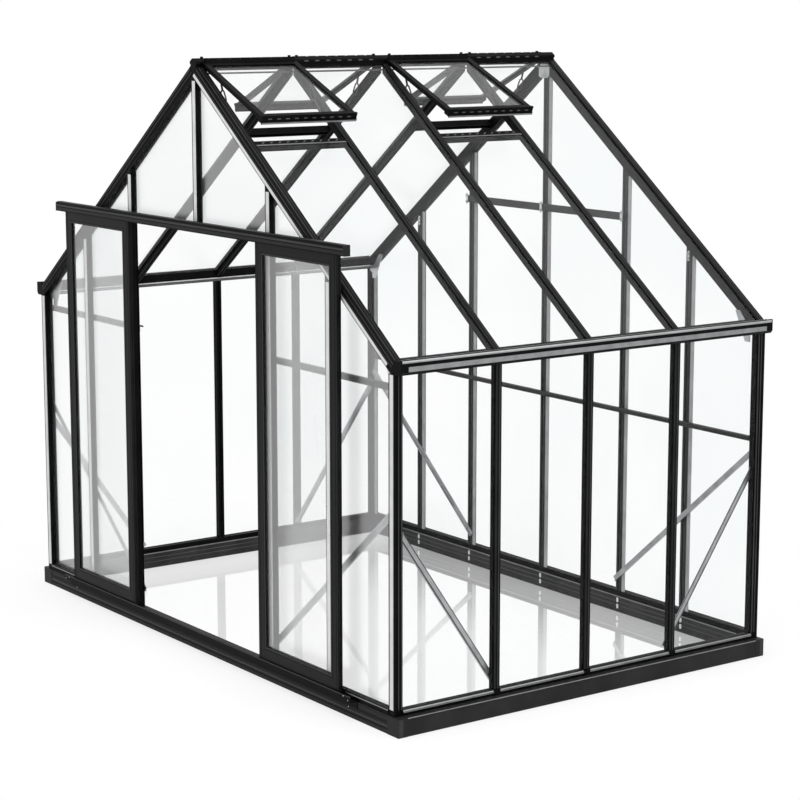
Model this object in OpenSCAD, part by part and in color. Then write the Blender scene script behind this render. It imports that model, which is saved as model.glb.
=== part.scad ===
// Walk-in greenhouse: aluminium frame, clear sheet glazing, double sliding door, four roof vents.
// Millimetres. X runs across the door gable, Y runs to the rear gable, Z is up from the ground.

/* [House] */
// Half of the width over the glazing bars of the side walls
half_width = 1690; // [1500:10:1900]
// Spacing of the glazing bars along the side walls
bay = 546; // [500:2:600]
// From the last bay line to the outer face of a gable
gable_reach = 36; // [34:1:44]
// Height of the roof plane above the outer face of a side wall
eave_height = 1702; // [1600:2:1800]
// Height at which the two roof planes meet
apex_height = 2968; // [2850:2:3060]
// Position of the door jambs either side of the middle
jamb_x = 662; // [600:2:700]
// Position of the outer gable studs either side of the middle
outer_stud_x = 1163; // [1080:2:1240]

/* [Base] */
// Height of the base frame
base_height = 88; // [60:1:120]
// How far the base frame stands out from a side wall
base_side_out = 40; // [20:1:60]
// How far the base frame stands out from a gable
base_gable_out = 6; // [4:1:10]
// Wall thickness of the base frame profile
base_wall = 4; // [2.5:0.5:6]
// Height of the sill profile on the base frame
sill_height = 28; // [24:1:45]

/* [Bars] */
// Face width of a glazing bar
bar_width = 36; // [34:1:50]
// Depth of a glazing bar
bar_depth = 34; // [30:1:36]
// Face width and depth of a corner post
post_size = 45; // [40:1:60]
// Thickness of a glazing sheet
sheet = 4; // [3:0.5:6]
// Depth of a glazing groove
groove_depth = 9; // [7:0.5:10]
// How far a sheet reaches into its groove
sheet_bite = 7; // [4:0.5:6.5]
// Metal outside the glazing groove
cap_thickness = 5; // [3.5:0.5:7]
// Face height of the rafters at the gables
end_rafter_face = 58; // [50:1:70]
// Depth of the rafters between the gables
rafter_depth = 40; // [34:1:48]
// Wall thickness of the angle braces and rails
angle_wall = 4; // [3:0.5:5]
// Face width of the braces
brace_width = 30; // [22:1:36]
// Depth of the flange of a brace
brace_flange = 12; // [8:1:16]
// Face height of the rails that cross the gables
rail_size = 28; // [22:1:34]
// Height at which the gable braces meet the corner posts
gable_brace_top = 1033; // [900:1:1060]
// How far above the sill the gable braces cross the jambs
gable_brace_foot = 84; // [60:1:120]
// Height at which the wall braces meet the corner posts
wall_brace_top = 938; // [850:1:1050]
// How far above the sill the wall braces cross the first bars
wall_brace_foot = 45; // [40:1:90]
// Lower edge of the rail across the rear gable
mid_rail_low = 1096; // [1090:1:1200]
// How far below the eave beam the front side rails lie
side_rail_drop = 84; // [70:1:110]

/* [Roof] */
// Half of the width of the ridge bar
ridge_half = 30; // [24:1:40]
// How far the ridge bar reaches below the line where the roof planes meet
ridge_depth = 41; // [36:1:50]
// How far the ridge bar stands above that line
ridge_rise = 20; // [16:1:28]
// From the roof plane at the wall down to the lower edge of the eave beam
eave_beam = 52; // [46:1:70]
// Outside width of the gutter trough
gutter_width = 50; // [44:1:70]
// How far the gutter lip stands above the roof plane at the wall
gutter_rise = 18; // [12:1:26]
// Length of a roof vent down the slope
vent_length = 590; // [500:10:680]
// Angle by which the roof vents stand open
vent_open = 12.5; // [6:0.5:20]
// Thickness of a roof vent frame
vent_frame = 22; // [16:1:26]
// Face width of the side rails of a vent
vent_rail = 30; // [24:1:36]
// Face width of the lower rail of a vent
vent_low_rail = 38; // [32:1:46]

/* [Door] */
// Width of one door leaf
leaf_width = 688; // [670:1:710]
// Height of a door leaf
leaf_height = 2041; // [1970:1:2041]
// Thickness of a door leaf
leaf_thickness = 22; // [20:1:24]
// Face width of a door stile
stile_width = 64; // [50:1:75]
// Face height of the top rail of a leaf
top_rail = 64; // [50:1:80]
// Face height of the bottom rail of a leaf
bottom_rail = 73; // [55:1:90]
// Gap from the gable bars to the back of a leaf
leaf_gap = 16; // [14:1:18]
// Gap from the base to the lower edge of a leaf
leaf_lift = 24; // [22:1:34]
// Inner edge of the left leaf from the middle as stored
left_open = 615; // [600:1:625]
// Inner edge of the right leaf from the middle as stored
right_open = 612; // [600:1:625]
// How far the header runs on past the outer edge of the right leaf
track_margin = 78; // [78:1:110]
// Height of the header
track_height = 48; // [48:1:60]
// Gap from the gable bars to the back of the header
header_gap = 20; // [20:1:22]
// Radius of a door wheel
wheel_radius = 10; // [8:1:10]

/* [Hidden] */
fit = 0.3;
half_length = 2 * bay;
gable_face = half_length + gable_reach;
pitch = atan((apex_height - eave_height) / half_width);
slope_length = half_width / cos(pitch);
sill_top = base_height + sill_height;
groove = sheet + 2 * fit;
beam_low = eave_height - eave_beam;
under_sheet = cap_thickness + sheet + fit;
// The gable sheets lie deep in their bars: metal outside the grooves of a gable.
gable_cap = bar_depth - sheet - 4;
ridge_low = apex_height - ridge_depth;
ridge_top = apex_height + ridge_rise;
leaf_low = base_height + leaf_lift;
leaf_top = leaf_low + leaf_height;
leaf_back = leaf_gap;
leaf_front = leaf_back + leaf_thickness;
header_lap = 4;
track_low = leaf_top - header_lap;
track_top = track_low + track_height;
track_wall = 3;
track_half = right_open + leaf_width + track_margin;
track_out = leaf_front + 18;
corner_proud = 1.5;
shift_y = (track_out - base_gable_out - corner_proud) / 2;
lintel_low = track_low - 12;
lintel_high = lintel_low + bar_width;
vent_rise = 2;
vent_hinge = (ridge_half + fit - vent_rise * sin(pitch)) / cos(pitch);
vent_lap = 12;
trimmer_near = vent_hinge + vent_length - 28;
trimmer_width = 34;
stud_lines = [-bay, 0, bay];
side_rail_low = beam_low - side_rail_drop;
plate = 4;
big = 6000;

function roof_z(x) = apex_height - abs(x) * tan(pitch);

// Places a wall drawn with x along it, y inwards from its outer face and z up.
module on_right() translate([half_width, 0, 0]) rotate([0, 0, 90]) children();
module on_left() mirror([1, 0, 0]) on_right() children();
module on_front() translate([0, -gable_face, 0]) children();
module on_rear() mirror([0, 1, 0]) on_front() children();
module both_walls() {
  on_right() children();
  on_left() children();
}
module both_gables() {
  on_front() children();
  on_rear() children();
}
module both_sides() {
  children();
  mirror([1, 0, 0]) children();
}
module on_right_slope() translate([0, 0, apex_height]) rotate([0, pitch, 0]) children();
// Runs a section (x across, y up) along the X axis from a to b.
module run_x(a, b) translate([a, 0, 0]) rotate([90, 0, 90]) linear_extrude(b - a) children();

// Glazing bar: outer cap, web, grooves for the sheets and a bolt channel to the inside.
bolt_mouth = 7;
bolt_channel = [13, 6];
channel_lip = 3;
module bar_section(depth = bar_depth, cap = cap_thickness) {
  half = bar_width / 2;
  back = depth - bolt_channel[1] - channel_lip;
  difference() {
    translate([-half, 0]) square([bar_width, depth]);
    translate([-half - 1, cap - fit]) square([groove_depth + 1, groove]);
    translate([half - groove_depth, cap - fit]) square([groove_depth + 1, groove]);
    translate([-bolt_mouth / 2, back]) square([bolt_mouth, depth]);
    translate([-bolt_channel[0] / 2, back]) square(bolt_channel);
  }
}

// ---- base ----
base_inner = 40;
base_rib = [3.5, 8];
inner_rib = [2.5, 6];
module base_section(out) {
  wide = out + base_inner;
  difference() {
    translate([-out, 0]) square([wide, base_height]);
    translate([base_wall - out, base_wall]) square([wide - 2 * base_wall, base_height - 2 * base_wall]);
    for (share = [0.2, 0.44, 0.68]) translate([base_inner - 1.5, base_height * share]) square(inner_rib);
    translate([-out - 1, base_height - 9]) square([2.5, 3]);
  }
}
// The base under a gable carries ribs along its face.
module gable_base_section() {
  difference() {
    base_section(base_gable_out);
    for (share = [0.2, 0.42, 0.64]) translate([-base_gable_out - 1, base_height * share]) square(base_rib);
  }
}
gable_reach_x = half_width - post_size - fit;
wall_reach = gable_face - post_size - fit;
module gable_base() run_x(-gable_reach_x, gable_reach_x) gable_base_section();
module front_base() { color([0.11, 0.11, 0.11]) on_front() gable_base(); }
module rear_base() { color([0.11, 0.11, 0.11]) on_rear() gable_base(); }
module side_bases() {
  color([0.11, 0.11, 0.11]) both_walls() run_x(-wall_reach, wall_reach) base_section(base_side_out);
}

module base_corner() {
  outer_x = half_width + base_side_out + corner_proud;
  outer_y = gable_face + base_gable_out + corner_proud;
  inner_x = half_width - post_size;
  inner_y = gable_face - post_size;
  wall = 6;
  linear_extrude(base_height) polygon([
    [inner_x, outer_y], [outer_x, outer_y], [outer_x, inner_y],
    [half_width - wall, inner_y], [half_width - wall, gable_face - wall], [inner_x, gable_face - wall]
  ]);
}
module four_corners() {
  for (sx = [0, 1]) for (sy = [0, 1]) mirror([sx, 0, 0]) mirror([0, sy, 0]) children();
}
module base_corners() { color([0.12, 0.12, 0.12]) four_corners() base_corner(); }

// Sill: an apron that sheds water over the base, a recess under it and a groove for the sheet.
module sill_section(cap) {
  apron = 6;
  apron_low = sill_top - 14;
  difference() {
    polygon([
      [-2, base_height], [bar_depth, base_height], [bar_depth, sill_top], [0, sill_top],
      [-apron, apron_low + 4], [-apron, apron_low], [-2, apron_low - 2]
    ]);
    translate([cap - fit, sill_top - groove_depth]) square([groove, groove_depth + 1]);
  }
}
// The front sill stops at the door jambs and leaves the doorway open down to the base.
module gable_sills() {
  color([0.3, 0.3, 0.3]) {
    on_rear() run_x(-gable_reach_x, gable_reach_x) sill_section(gable_cap);
    on_front() both_sides() run_x(jamb_x - bar_width / 2, gable_reach_x) sill_section(gable_cap);
  }
}
module side_sills() {
  color([0.3, 0.3, 0.3]) both_walls() run_x(-wall_reach, wall_reach) sill_section(cap_thickness);
}

// ---- walls ----
module corner_post() {
  inner_x = half_width - post_size;
  inner_y = gable_face - post_size;
  flute = [3, post_size * 0.2];
  sheet_back = cap_thickness + sheet + fit;
  translate([0, 0, base_height]) linear_extrude(beam_low - base_height) difference() {
    translate([inner_x, inner_y]) square([post_size, post_size]);
    translate([inner_x - 1, gable_face - gable_cap - sheet - fit]) square([groove_depth + 1, groove]);
    translate([half_width - sheet_back, inner_y - 1]) square([groove, groove_depth + 1]);
    for (share = [0.22, 0.55]) translate([half_width - 2, inner_y + post_size * share]) square(flute);
  }
}
module corner_posts() { color([0.13, 0.13, 0.13]) four_corners() corner_post(); }

module upright(x, low, high, cap = cap_thickness)
  translate([x, 0, low]) linear_extrude(high - low) bar_section(cap = cap);
module wall_bars() for (x = stud_lines) upright(x, sill_top, beam_low);
module left_wall_bars() { color([0.13, 0.13, 0.13]) on_left() wall_bars(); }
module right_wall_bars() { color([0.13, 0.13, 0.13]) on_right() wall_bars(); }

// Sheets between uprights: each reaches into the grooves of the two it stands between.
wall_edges = [-gable_face + post_size, -bay, 0, bay, gable_face - post_size];
function edge_in(i, side) = (i == 0 || i == 4) ? 0 : side * bar_width / 2;
function clear_low(i) = wall_edges[i] + edge_in(i, 1);
function clear_high(i) = wall_edges[i + 1] + edge_in(i + 1, -1);
module wall_glazing() {
  for (i = [0:3]) translate([clear_low(i) - sheet_bite, cap_thickness, sill_top - sheet_bite])
    cube([clear_high(i) - clear_low(i) + 2 * sheet_bite, sheet, beam_low - sill_top + 2 * sheet_bite]);
}
module left_wall_glazing() { color([0.85, 0.9, 0.92, 0.3]) on_left() wall_glazing(); }
module right_wall_glazing() { color([0.85, 0.9, 0.92, 0.3]) on_right() wall_glazing(); }

// ---- eaves, ridge and rafters ----
// Height of a line that lies a given depth under the roof plane.
function below_roof(x, depth) = roof_z(x) - depth / cos(pitch);
beam_in = half_width - bar_depth;
module beam_section(grow = 0) {
  inner = beam_in - grow;
  outer = half_width + grow;
  polygon([
    [inner, beam_low - grow], [outer, beam_low - grow],
    [outer, below_roof(outer, under_sheet - grow)], [inner, below_roof(inner, under_sheet - grow)]
  ]);
}
// Eave: the beam that carries rafters and sheets, with the gutter trough and its rolled lip.
gutter_wall = 3;
gutter_lip = 5;
gutter_top = eave_height + gutter_rise - gutter_lip;
gutter_foot = [12, 14];
module gutter_outline() {
  x = half_width;
  w = gutter_width;
  polygon([
    [x, beam_low], [x + w - gutter_foot[0], beam_low], [x + w, beam_low + gutter_foot[1]],
    [x + w, gutter_top], [x, gutter_top]
  ]);
}
module gutter_section() {
  x = half_width;
  w = gutter_width;
  t = gutter_wall;
  beam_section();
  difference() {
    gutter_outline();
    polygon([
      [x, beam_low + t], [x + w - gutter_foot[0] - t / 2, beam_low + t], [x + w - t, beam_low + gutter_foot[1] + t / 2],
      [x + w - t, gutter_top + 1], [x, gutter_top + 1]
    ]);
    translate([x - cap_thickness - sheet - fit, beam_low - 1]) square([groove, groove_depth + 1]);
    translate([x + w - 1.5, gutter_top - 10]) square([3, 4]);
  }
  translate([x + w - gutter_lip, gutter_top]) circle(r = gutter_lip, $fn = 48);
}
module along_wall(a, b) translate([0, b, 0]) rotate([90, 0, 0]) linear_extrude(b - a) children();
module gutter() {
  end = 6;
  difference() {
    union() {
      along_wall(-gable_face, gable_face) gutter_section();
      for (y = [-gable_face, gable_face - end]) along_wall(y, y + end) gutter_outline();
    }
    along_wall(-gable_face - 1, gable_face + 1)
      translate([half_width - cap_thickness - sheet - fit, beam_low - 1]) square([groove, groove_depth + 1]);
  }
}
module right_gutter() { color([0.2, 0.2, 0.2]) gutter(); }
module left_gutter() { color([0.2, 0.2, 0.2]) mirror([1, 0, 0]) gutter(); }

// Ridge: a crown above the roof planes, a hinge channel along each side and a lower flange.
module ridge_section() {
  h = ridge_half;
  side = roof_z(h);
  half = [
    [9, ridge_top], [13, ridge_top - 4], [h - 4, side + 30], [h, side + 26], [h, side + 16],
    [h - 6, side + 14], [h - 6, side + 4], [h, side + 2], [h, ridge_low + 12],
    [h - 12, ridge_low + 8], [h - 12, ridge_low + 4], [h - 8, ridge_low + 4], [h - 8, ridge_low]
  ];
  both_halves = concat(half, [for (i = [len(half) - 1:-1:0]) [-half[i][0], half[i][1]]]);
  polygon(both_halves);
}
// Stops on the crown hold the vents from sliding along their hinge channels.
stop_size = [12, 10, 8];
stop_lines = [
  clear_low(0), clear_high(0) - stop_size[1], clear_low(1) - 2, clear_high(1) - 40,
  clear_low(2) + 24, clear_high(2) - 20, clear_low(3), clear_high(3) - 60
];
module ridge_bar() {
  color([0.13, 0.13, 0.13]) {
    difference() {
      along_wall(-gable_face, gable_face) ridge_section();
      ridge_slots();
    }
    for (y = stop_lines) translate([-stop_size[0] / 2, y, ridge_top]) cube(stop_size);
  }
}
// Slots open through the crown where a bay has no vent on that side.
slot_pitch = 66;
slot_size = [26, 5];
module slots_in(i) {
  from = clear_low(i) + 30;
  count = floor((clear_high(i) - from - 30) / slot_pitch);
  for (k = [0:count]) translate([ridge_half - 11, from + k * slot_pitch, roof_z(ridge_half) + 19])
    cube([12, slot_size[0], slot_size[1]]);
}
module ridge_slots() {
  for (i = left_vents) slots_in(i);
  mirror([1, 0, 0]) for (i = right_vents) slots_in(i);
}

// Keeps what lies between the ridge bar and the outer face of the side wall.
module between_ridge_and_wall() {
  intersection() {
    children();
    translate([ridge_half + fit, -big / 2, 0]) cube([half_width - ridge_half - fit, big, big]);
  }
}
module without_beam() {
  difference() {
    children();
    along_wall(-big / 2, big / 2) {
      beam_section(fit);
      translate([beam_in, 0]) square([bar_depth + 2, beam_low]);
    }
  }
}
module rafter() {
  without_beam() between_ridge_and_wall() on_right_slope()
    run_x(0, slope_length + 60) mirror([0, 1]) bar_section(rafter_depth);
}
module rafters() for (y = stud_lines) translate([0, y, 0]) rafter();
module right_rafters() { color([0.13, 0.13, 0.13]) rafters(); }
module left_rafters() { color([0.13, 0.13, 0.13]) mirror([1, 0, 0]) rafters(); }

// End rafter: y across from the gable's outer face, grooves for the roof sheet and the gable sheet.
module end_rafter_section() {
  flutes = [[0.4, 6], [0.78, 4]];
  difference() {
    translate([0, -end_rafter_face]) square([post_size, end_rafter_face]);
    translate([post_size - groove_depth, -under_sheet]) square([groove_depth + 1, groove]);
    translate([gable_cap - fit, -end_rafter_face - 1]) square([groove, groove_depth + 1]);
    for (f = flutes) translate([-1, -end_rafter_face * f[0]]) square([3, f[1]]);
  }
}
// The two end rafters of a gable meet under the ridge bar.
rafter_overrun = 80;
module end_rafter() {
  without_beam() difference() {
    intersection() {
      on_right_slope() run_x(-rafter_overrun, slope_length + rafter_overrun) end_rafter_section();
      translate([fit / 2, -big / 2, 0]) cube([half_width - fit / 2, big, big]);
    }
    translate([-1, -1, ridge_low - fit]) cube([ridge_half + fit + 1, post_size + 2, big]);
  }
}
module front_rafters() { color([0.13, 0.13, 0.13]) on_front() both_sides() end_rafter(); }
module rear_rafters() { color([0.13, 0.13, 0.13]) on_rear() both_sides() end_rafter(); }

// A sheet starts at the ridge bar, or at the sill of the vent where the bay has one.
right_vents = [0, 2];
left_vents = [1, 3];
full_sheet_top = (ridge_half + fit + under_sheet * sin(pitch)) / cos(pitch);
short_sheet_top = trimmer_near + trimmer_width - sheet_bite;
module roof_glazing(vented) {
  for (i = [0:3]) {
    has_vent = len([for (v = vented) if (v == i) v]) > 0;
    top = has_vent ? short_sheet_top : full_sheet_top;
    on_right_slope() translate([top, clear_low(i) - sheet_bite, -cap_thickness - sheet])
      cube([slope_length + 12 - top, clear_high(i) - clear_low(i) + 2 * sheet_bite, sheet]);
  }
}
module right_roof_glazing() { color([0.85, 0.9, 0.92, 0.3]) roof_glazing(right_vents); }
module left_roof_glazing() { color([0.85, 0.9, 0.92, 0.3]) mirror([1, 0, 0]) roof_glazing(left_vents); }

// ---- gables ----
function under_rafter(x) = below_roof(x, end_rafter_face);
module under_rafters(raise = 0) {
  h = under_rafter(0) + raise;
  w = half_width;
  translate([0, big / 2, 0]) rotate([90, 0, 0]) linear_extrude(big)
    polygon([[-w, -10], [w, -10], [w, h - w * tan(pitch)], [0, h], [-w, h - w * tan(pitch)]]);
}
module gable_stud(x, low) {
  intersection() {
    upright(x, low, apex_height, gable_cap);
    under_rafters();
  }
}
module front_gable_bars() {
  color([0.13, 0.13, 0.13]) on_front() {
    for (x = [-outer_stud_x, outer_stud_x]) gable_stud(x, sill_top);
    gable_stud(0, lintel_high);
  }
}
module door_jambs() {
  color([0.13, 0.13, 0.13]) on_front() for (x = [-jamb_x, jamb_x]) gable_stud(x, sill_top);
}
module door_lintel() {
  reach = jamb_x - bar_width / 2;
  rebate = 12;
  color([0.13, 0.13, 0.13]) on_front() translate([0, 0, lintel_low]) run_x(-reach, reach) difference() {
    square([bar_depth, bar_width]);
    translate([gable_cap - fit, bar_width - groove_depth]) square([groove, groove_depth + 1]);
    translate([bar_depth - rebate, rebate]) square([rebate + 1, bar_width - 2 * rebate]);
  }
}
module rear_gable_bars() {
  color([0.13, 0.13, 0.13]) on_rear()
    for (x = [-outer_stud_x, -jamb_x, 0, jamb_x, outer_stud_x]) gable_stud(x, sill_top);
}
module gable_sheet(x0, x1, low) {
  intersection() {
    translate([x0, gable_cap, low]) cube([x1 - x0, sheet, big]);
    under_rafters(sheet_bite / cos(pitch));
  }
}
module gable_glazing(with_doorway) {
  half = bar_width / 2 - sheet_bite;
  low = sill_top - sheet_bite;
  mid_low = with_doorway ? lintel_high - sheet_bite : low;
  both_sides() {
    difference() {
      gable_sheet(outer_stud_x + half, half_width - post_size + sheet_bite, low);
      translate([beam_in - 1, 0, beam_low - 1]) cube([bar_depth, post_size, big]);
    }
    gable_sheet(jamb_x + half, outer_stud_x - half, low);
    gable_sheet(half, jamb_x - half, mid_low);
  }
}
module front_gable_glazing() { color([0.85, 0.9, 0.92, 0.3]) on_front() gable_glazing(true); }
module rear_gable_glazing() { color([0.85, 0.9, 0.92, 0.3]) on_rear() gable_glazing(false); }

// Angle section standing on a wall's inner face: y up, x inwards, turned down at its inner edge.
module rail_section() {
  t = angle_wall;
  s = rail_size;
  polygon([[0, 0], [t, 0], [t, s - t], [s * 0.7, s - t], [s * 0.7, s - 2 * t], [s * 0.7 + t, s - 2 * t],
    [s * 0.7 + t, s], [0, s]]);
}
module gable_rail(a, b, low) translate([0, bar_depth, low]) run_x(a, b) rail_section();
module rear_crossbar() {
  reach = jamb_x + bar_width / 2;
  color([0.16, 0.16, 0.16]) on_rear() gable_rail(-reach, reach, lintel_low);
}
module rear_mid_rail() {
  reach = half_width - post_size;
  color([0.16, 0.16, 0.16]) on_rear() gable_rail(-reach, reach, mid_rail_low);
}
module front_side_rails() {
  color([0.16, 0.16, 0.16]) on_front() both_sides()
    gable_rail(jamb_x - bar_width / 2, half_width - post_size, side_rail_low);
}

// Angle brace on the inside of a wall: it runs on a little past the upright at x0 and ends
// square against the post at x1.
brace_tail = 34;
module brace(x0, z0, x1, z1) {
  a = atan2(z1 - z0, x1 - x0);
  l = norm([x1 - x0, z1 - z0]);
  intersection() {
    translate([x0, bar_depth, z0]) rotate([0, -a, 0]) translate([-brace_tail, 0, -brace_width / 2]) {
      cube([l + 2 * brace_tail, angle_wall, brace_width]);
      cube([l + 2 * brace_tail, brace_flange, angle_wall]);
    }
    cube([x1, 2 * bar_depth, apex_height]);
  }
}
gable_brace_low = sill_top + gable_brace_foot;
wall_brace_low = sill_top + wall_brace_foot;
module gable_braces() {
  color([0.3, 0.3, 0.3]) both_gables() both_sides()
    brace(jamb_x, gable_brace_low, half_width - post_size, gable_brace_top);
}
module wall_braces() {
  color([0.3, 0.3, 0.3]) both_walls() both_sides()
    brace(bay, wall_brace_low, gable_face - post_size, wall_brace_top);
}

// ---- roof vents ----
module each_vent() {
  for (i = right_vents) let ($clear = clear_high(i) - clear_low(i))
    translate([0, (clear_low(i) + clear_high(i)) / 2, 0]) children();
  mirror([1, 0, 0]) for (i = left_vents) let ($clear = clear_high(i) - clear_low(i))
    translate([0, (clear_low(i) + clear_high(i)) / 2, 0]) children();
}
module swung() {
  on_right_slope() translate([vent_hinge, 0, vent_rise]) rotate([0, -vent_open, 0]) children();
}
// Runs a section (x across, z up) along Y, centred, for a given width.
module across_vent(width) translate([0, width / 2, 0]) rotate([90, 0, 0]) linear_extrude(width) children();
pane_z = (vent_frame - sheet) / 2;
module vent_opening(bite, thick) {
  w = $clear + 2 * vent_lap - 2 * vent_rail + 2 * bite;
  translate([vent_rail - bite, -w / 2, vent_frame / 2 - thick / 2])
    cube([vent_length - vent_rail - vent_low_rail + 2 * bite, w, thick]);
}
// The lower rail is a deeper section with a drip lip, the upper rail hooks over the ridge channel.
low_rail_drop = 10;
low_rail_rise = 7;
drip = [5, 9];
hook_height = 44;
hook_notch = [14, 8];
hook_pitch = 60;
module vent_hook() {
  h = ridge_half + fit;
  w = $clear - 2;
  side = roof_z(h);
  notches = floor((w - 40) / hook_pitch);
  difference() {
    across_vent(w) polygon([
      [h, side + 3], [h, side + hook_height], [h + 6, side + hook_height], [h + 14, side + 24],
      [h + 14, side + 6]
    ]);
    for (k = [0:notches])
      translate([h - 1, -w / 2 + 20 + k * hook_pitch, side + hook_height - hook_notch[1]])
      cube([20, hook_notch[0], hook_notch[1] + 1]);
  }
}
module vent_frame_body() {
  w = $clear + 2 * vent_lap;
  swung() difference() {
    union() {
      translate([0, -w / 2, 0]) cube([vent_length, w, vent_frame]);
      translate([vent_length - vent_low_rail, 0, 0]) across_vent(w) polygon([
        [0, -low_rail_drop], [vent_low_rail, -low_rail_drop], [vent_low_rail, -low_rail_drop - 4],
        [vent_low_rail + drip[0], -low_rail_drop - 4], [vent_low_rail + drip[0], drip[1] - low_rail_drop],
        [vent_low_rail, drip[1] - low_rail_drop + 2], [vent_low_rail, vent_frame + low_rail_rise],
        [vent_low_rail - 12, vent_frame + low_rail_rise], [vent_low_rail - 18, vent_frame], [0, vent_frame]
      ]);
    }
    vent_opening(0, 2 * vent_frame);
    vent_opening(groove_depth, groove);
    rail_slots(w);
  }
  vent_hook();
}
rail_slot = [20, 4];
rail_slot_pitch = 50;
module rail_slots(w) {
  count = floor((w - 60) / rail_slot_pitch);
  start = -count * rail_slot_pitch / 2 - rail_slot[0] / 2;
  for (k = [0:count]) translate([vent_length - 6, start + k * rail_slot_pitch, vent_frame / 2 - 2])
    cube([10, rail_slot[0], rail_slot[1]]);
}
// The vent sill spans between two rafters and takes the sheet below it.
module vent_sill_section() {
  flange = [5, 20];
  difference() {
    square([trimmer_width, rafter_depth - 3]);
    translate([trimmer_width - groove_depth, rafter_depth - under_sheet]) square([groove_depth + 1, groove]);
    translate([flange[0], -1]) square([trimmer_width - 2 * flange[0], flange[1]]);
  }
}
module vent_sill_body() {
  on_right_slope() translate([trimmer_near, 0, -rafter_depth]) across_vent($clear - 2 * fit) vent_sill_section();
}
module vent_sills() { color([0.16, 0.16, 0.16]) each_vent() vent_sill_body(); }
module roof_vents() { color([0.13, 0.13, 0.13]) each_vent() vent_frame_body(); }
module vent_panes() { color([0.85, 0.9, 0.92, 0.3]) each_vent() swung() vent_opening(sheet_bite, sheet); }

// Stay: a lever cut from flat bar. Its foot bears on the rafter's side, an oval eye carries the
// spring and its head is trimmed to the underside of the vent's side rail.
stay_thickness = 4;
stay_foot = [360, -26];
stay_eye = [262, -4];
stay_head = [170, 60];
eye_radius = 19;
eye_hole = 12;
eye_half = 17;
eye_tilt = -24;
module strap(a, b, width) {
  angle = atan2(b[1] - a[1], b[0] - a[0]);
  translate(a) rotate(angle) translate([0, -width / 2]) square([norm(b - a), width]);
  translate(b) circle(d = width, $fn = 32);
}
module oval(radius) {
  translate([-eye_half, -radius]) square([2 * eye_half, 2 * radius]);
  for (s = [-1, 1]) translate([s * eye_half, 0]) circle(r = radius, $fn = 48);
}
module stay_outline() {
  difference() {
    union() {
      strap(stay_eye, stay_foot, 14);
      strap(stay_eye, stay_head, 12);
      translate(stay_eye) rotate(eye_tilt) oval(eye_radius);
    }
    translate(stay_eye) rotate(eye_tilt) oval(eye_hole);
  }
}
module vent_stay() {
  difference() {
    on_right_slope() rotate([90, 0, 0]) linear_extrude(stay_thickness) stay_outline();
    swung() translate([-vent_length, -big / 2, 0]) cube([3 * vent_length, big, vent_length]);
  }
}
module vent_stays() {
  color([0.5, 0.5, 0.5]) each_vent() {
    translate([0, $clear / 2, 0]) vent_stay();
    translate([0, stay_thickness - $clear / 2, 0]) vent_stay();
  }
}

// ---- plates ----
module gable_plate(points) {
  translate([0, post_size + plate, 0]) rotate([90, 0, 0]) linear_extrude(plate) polygon(points);
}
// Gusset: a slanted strap from the post's inner face up to the rafter, with a short arm to the eave.
gusset_width = 34;
gusset_lean = 72;
gusset_arm = 22;
module eave_gusset() {
  x = beam_in - 2;
  foot = x - gusset_arm;
  tip = foot - gusset_lean;
  low = side_rail_low + rail_size + 2;
  gable_plate([
    [foot, low], [foot - gusset_width, low], [tip - gusset_width, under_rafter(tip) + 20],
    [tip, under_rafter(tip) + 20], [foot - gusset_width / 3, beam_low + gusset_arm], [x, beam_low + gusset_arm],
    [x, beam_low - gusset_arm / 2], [foot, beam_low - gusset_arm]
  ]);
}
module eave_gussets() { color([0.7, 0.7, 0.7]) both_gables() both_sides() eave_gusset(); }
// The plate under the ridge ties the two end rafters where they meet.
ridge_plate_half = 44;
module ridge_plate() {
  h = ridge_plate_half;
  top = ridge_low - 2;
  gable_plate([
    [-h * 0.6, top], [h * 0.6, top], [h, top - 18], [h, under_rafter(h) - 4],
    [h * 0.5, under_rafter(h) - 14], [-h * 0.5, under_rafter(h) - 14], [-h, under_rafter(h) - 4], [-h, top - 18]
  ]);
}
module ridge_plates() { color([0.7, 0.7, 0.7]) both_gables() ridge_plate(); }

// ---- door tracks ----
// Sections with x outwards from the gable's outer face and y up.
// Header: the wheels run inside it, its lip hangs over the tops of the leaves, its foot bears
// on the jambs.
hanger_plate = [40, 4];
hanger_clear = 5.2;
plate_y = header_gap + track_wall + hanger_clear;
rail_in = plate_y + hanger_plate[1] + hanger_clear;
header_floor = track_low + 14;
rail_top = header_floor + track_wall;
header_step = [6, 39];
crown = 6;
cap_drop = 3;
header_foot = [16, 34];
module header_outline() polygon([
  [header_gap, header_floor], [track_out - track_wall, header_floor], [track_out - track_wall, track_low],
  [track_out, track_low], [track_out, track_low + header_step[1]],
  [track_out - header_step[0], track_low + header_step[1] + 2], [track_out - header_step[0], track_top - crown],
  [track_out - header_step[0] - crown, track_top], [header_gap, track_top]
]);
module header_cap() {
  header_outline();
  translate([header_gap, track_low - cap_drop]) square([track_out - header_gap, header_floor + cap_drop - track_low]);
}
module header_section() {
  t = track_wall;
  b = header_gap;
  face = track_out - header_step[0];
  difference() {
    header_outline();
    polygon([
      [b + t, rail_top], [track_out - t, rail_top], [track_out - t, track_low + header_step[1] - t],
      [face - t, track_low + header_step[1]], [face - t, track_top - crown - t / 2],
      [face - crown - t / 2, track_top - t], [b + t, track_top - t]
    ]);
    translate([b + t, header_floor - 1]) square([rail_in - b - t, t + 2]);
    translate([track_out - 1, track_low + 18]) square([2, 4]);
  }
}
module header_foot_section() {
  t = track_wall;
  low = track_low + header_foot[0];
  high = track_low + header_foot[1];
  polygon([[0, low], [t, low], [t, high - t], [header_gap, high - t], [header_gap, high], [0, high]]);
}
module outwards() mirror([0, 1, 0]) children();
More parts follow.
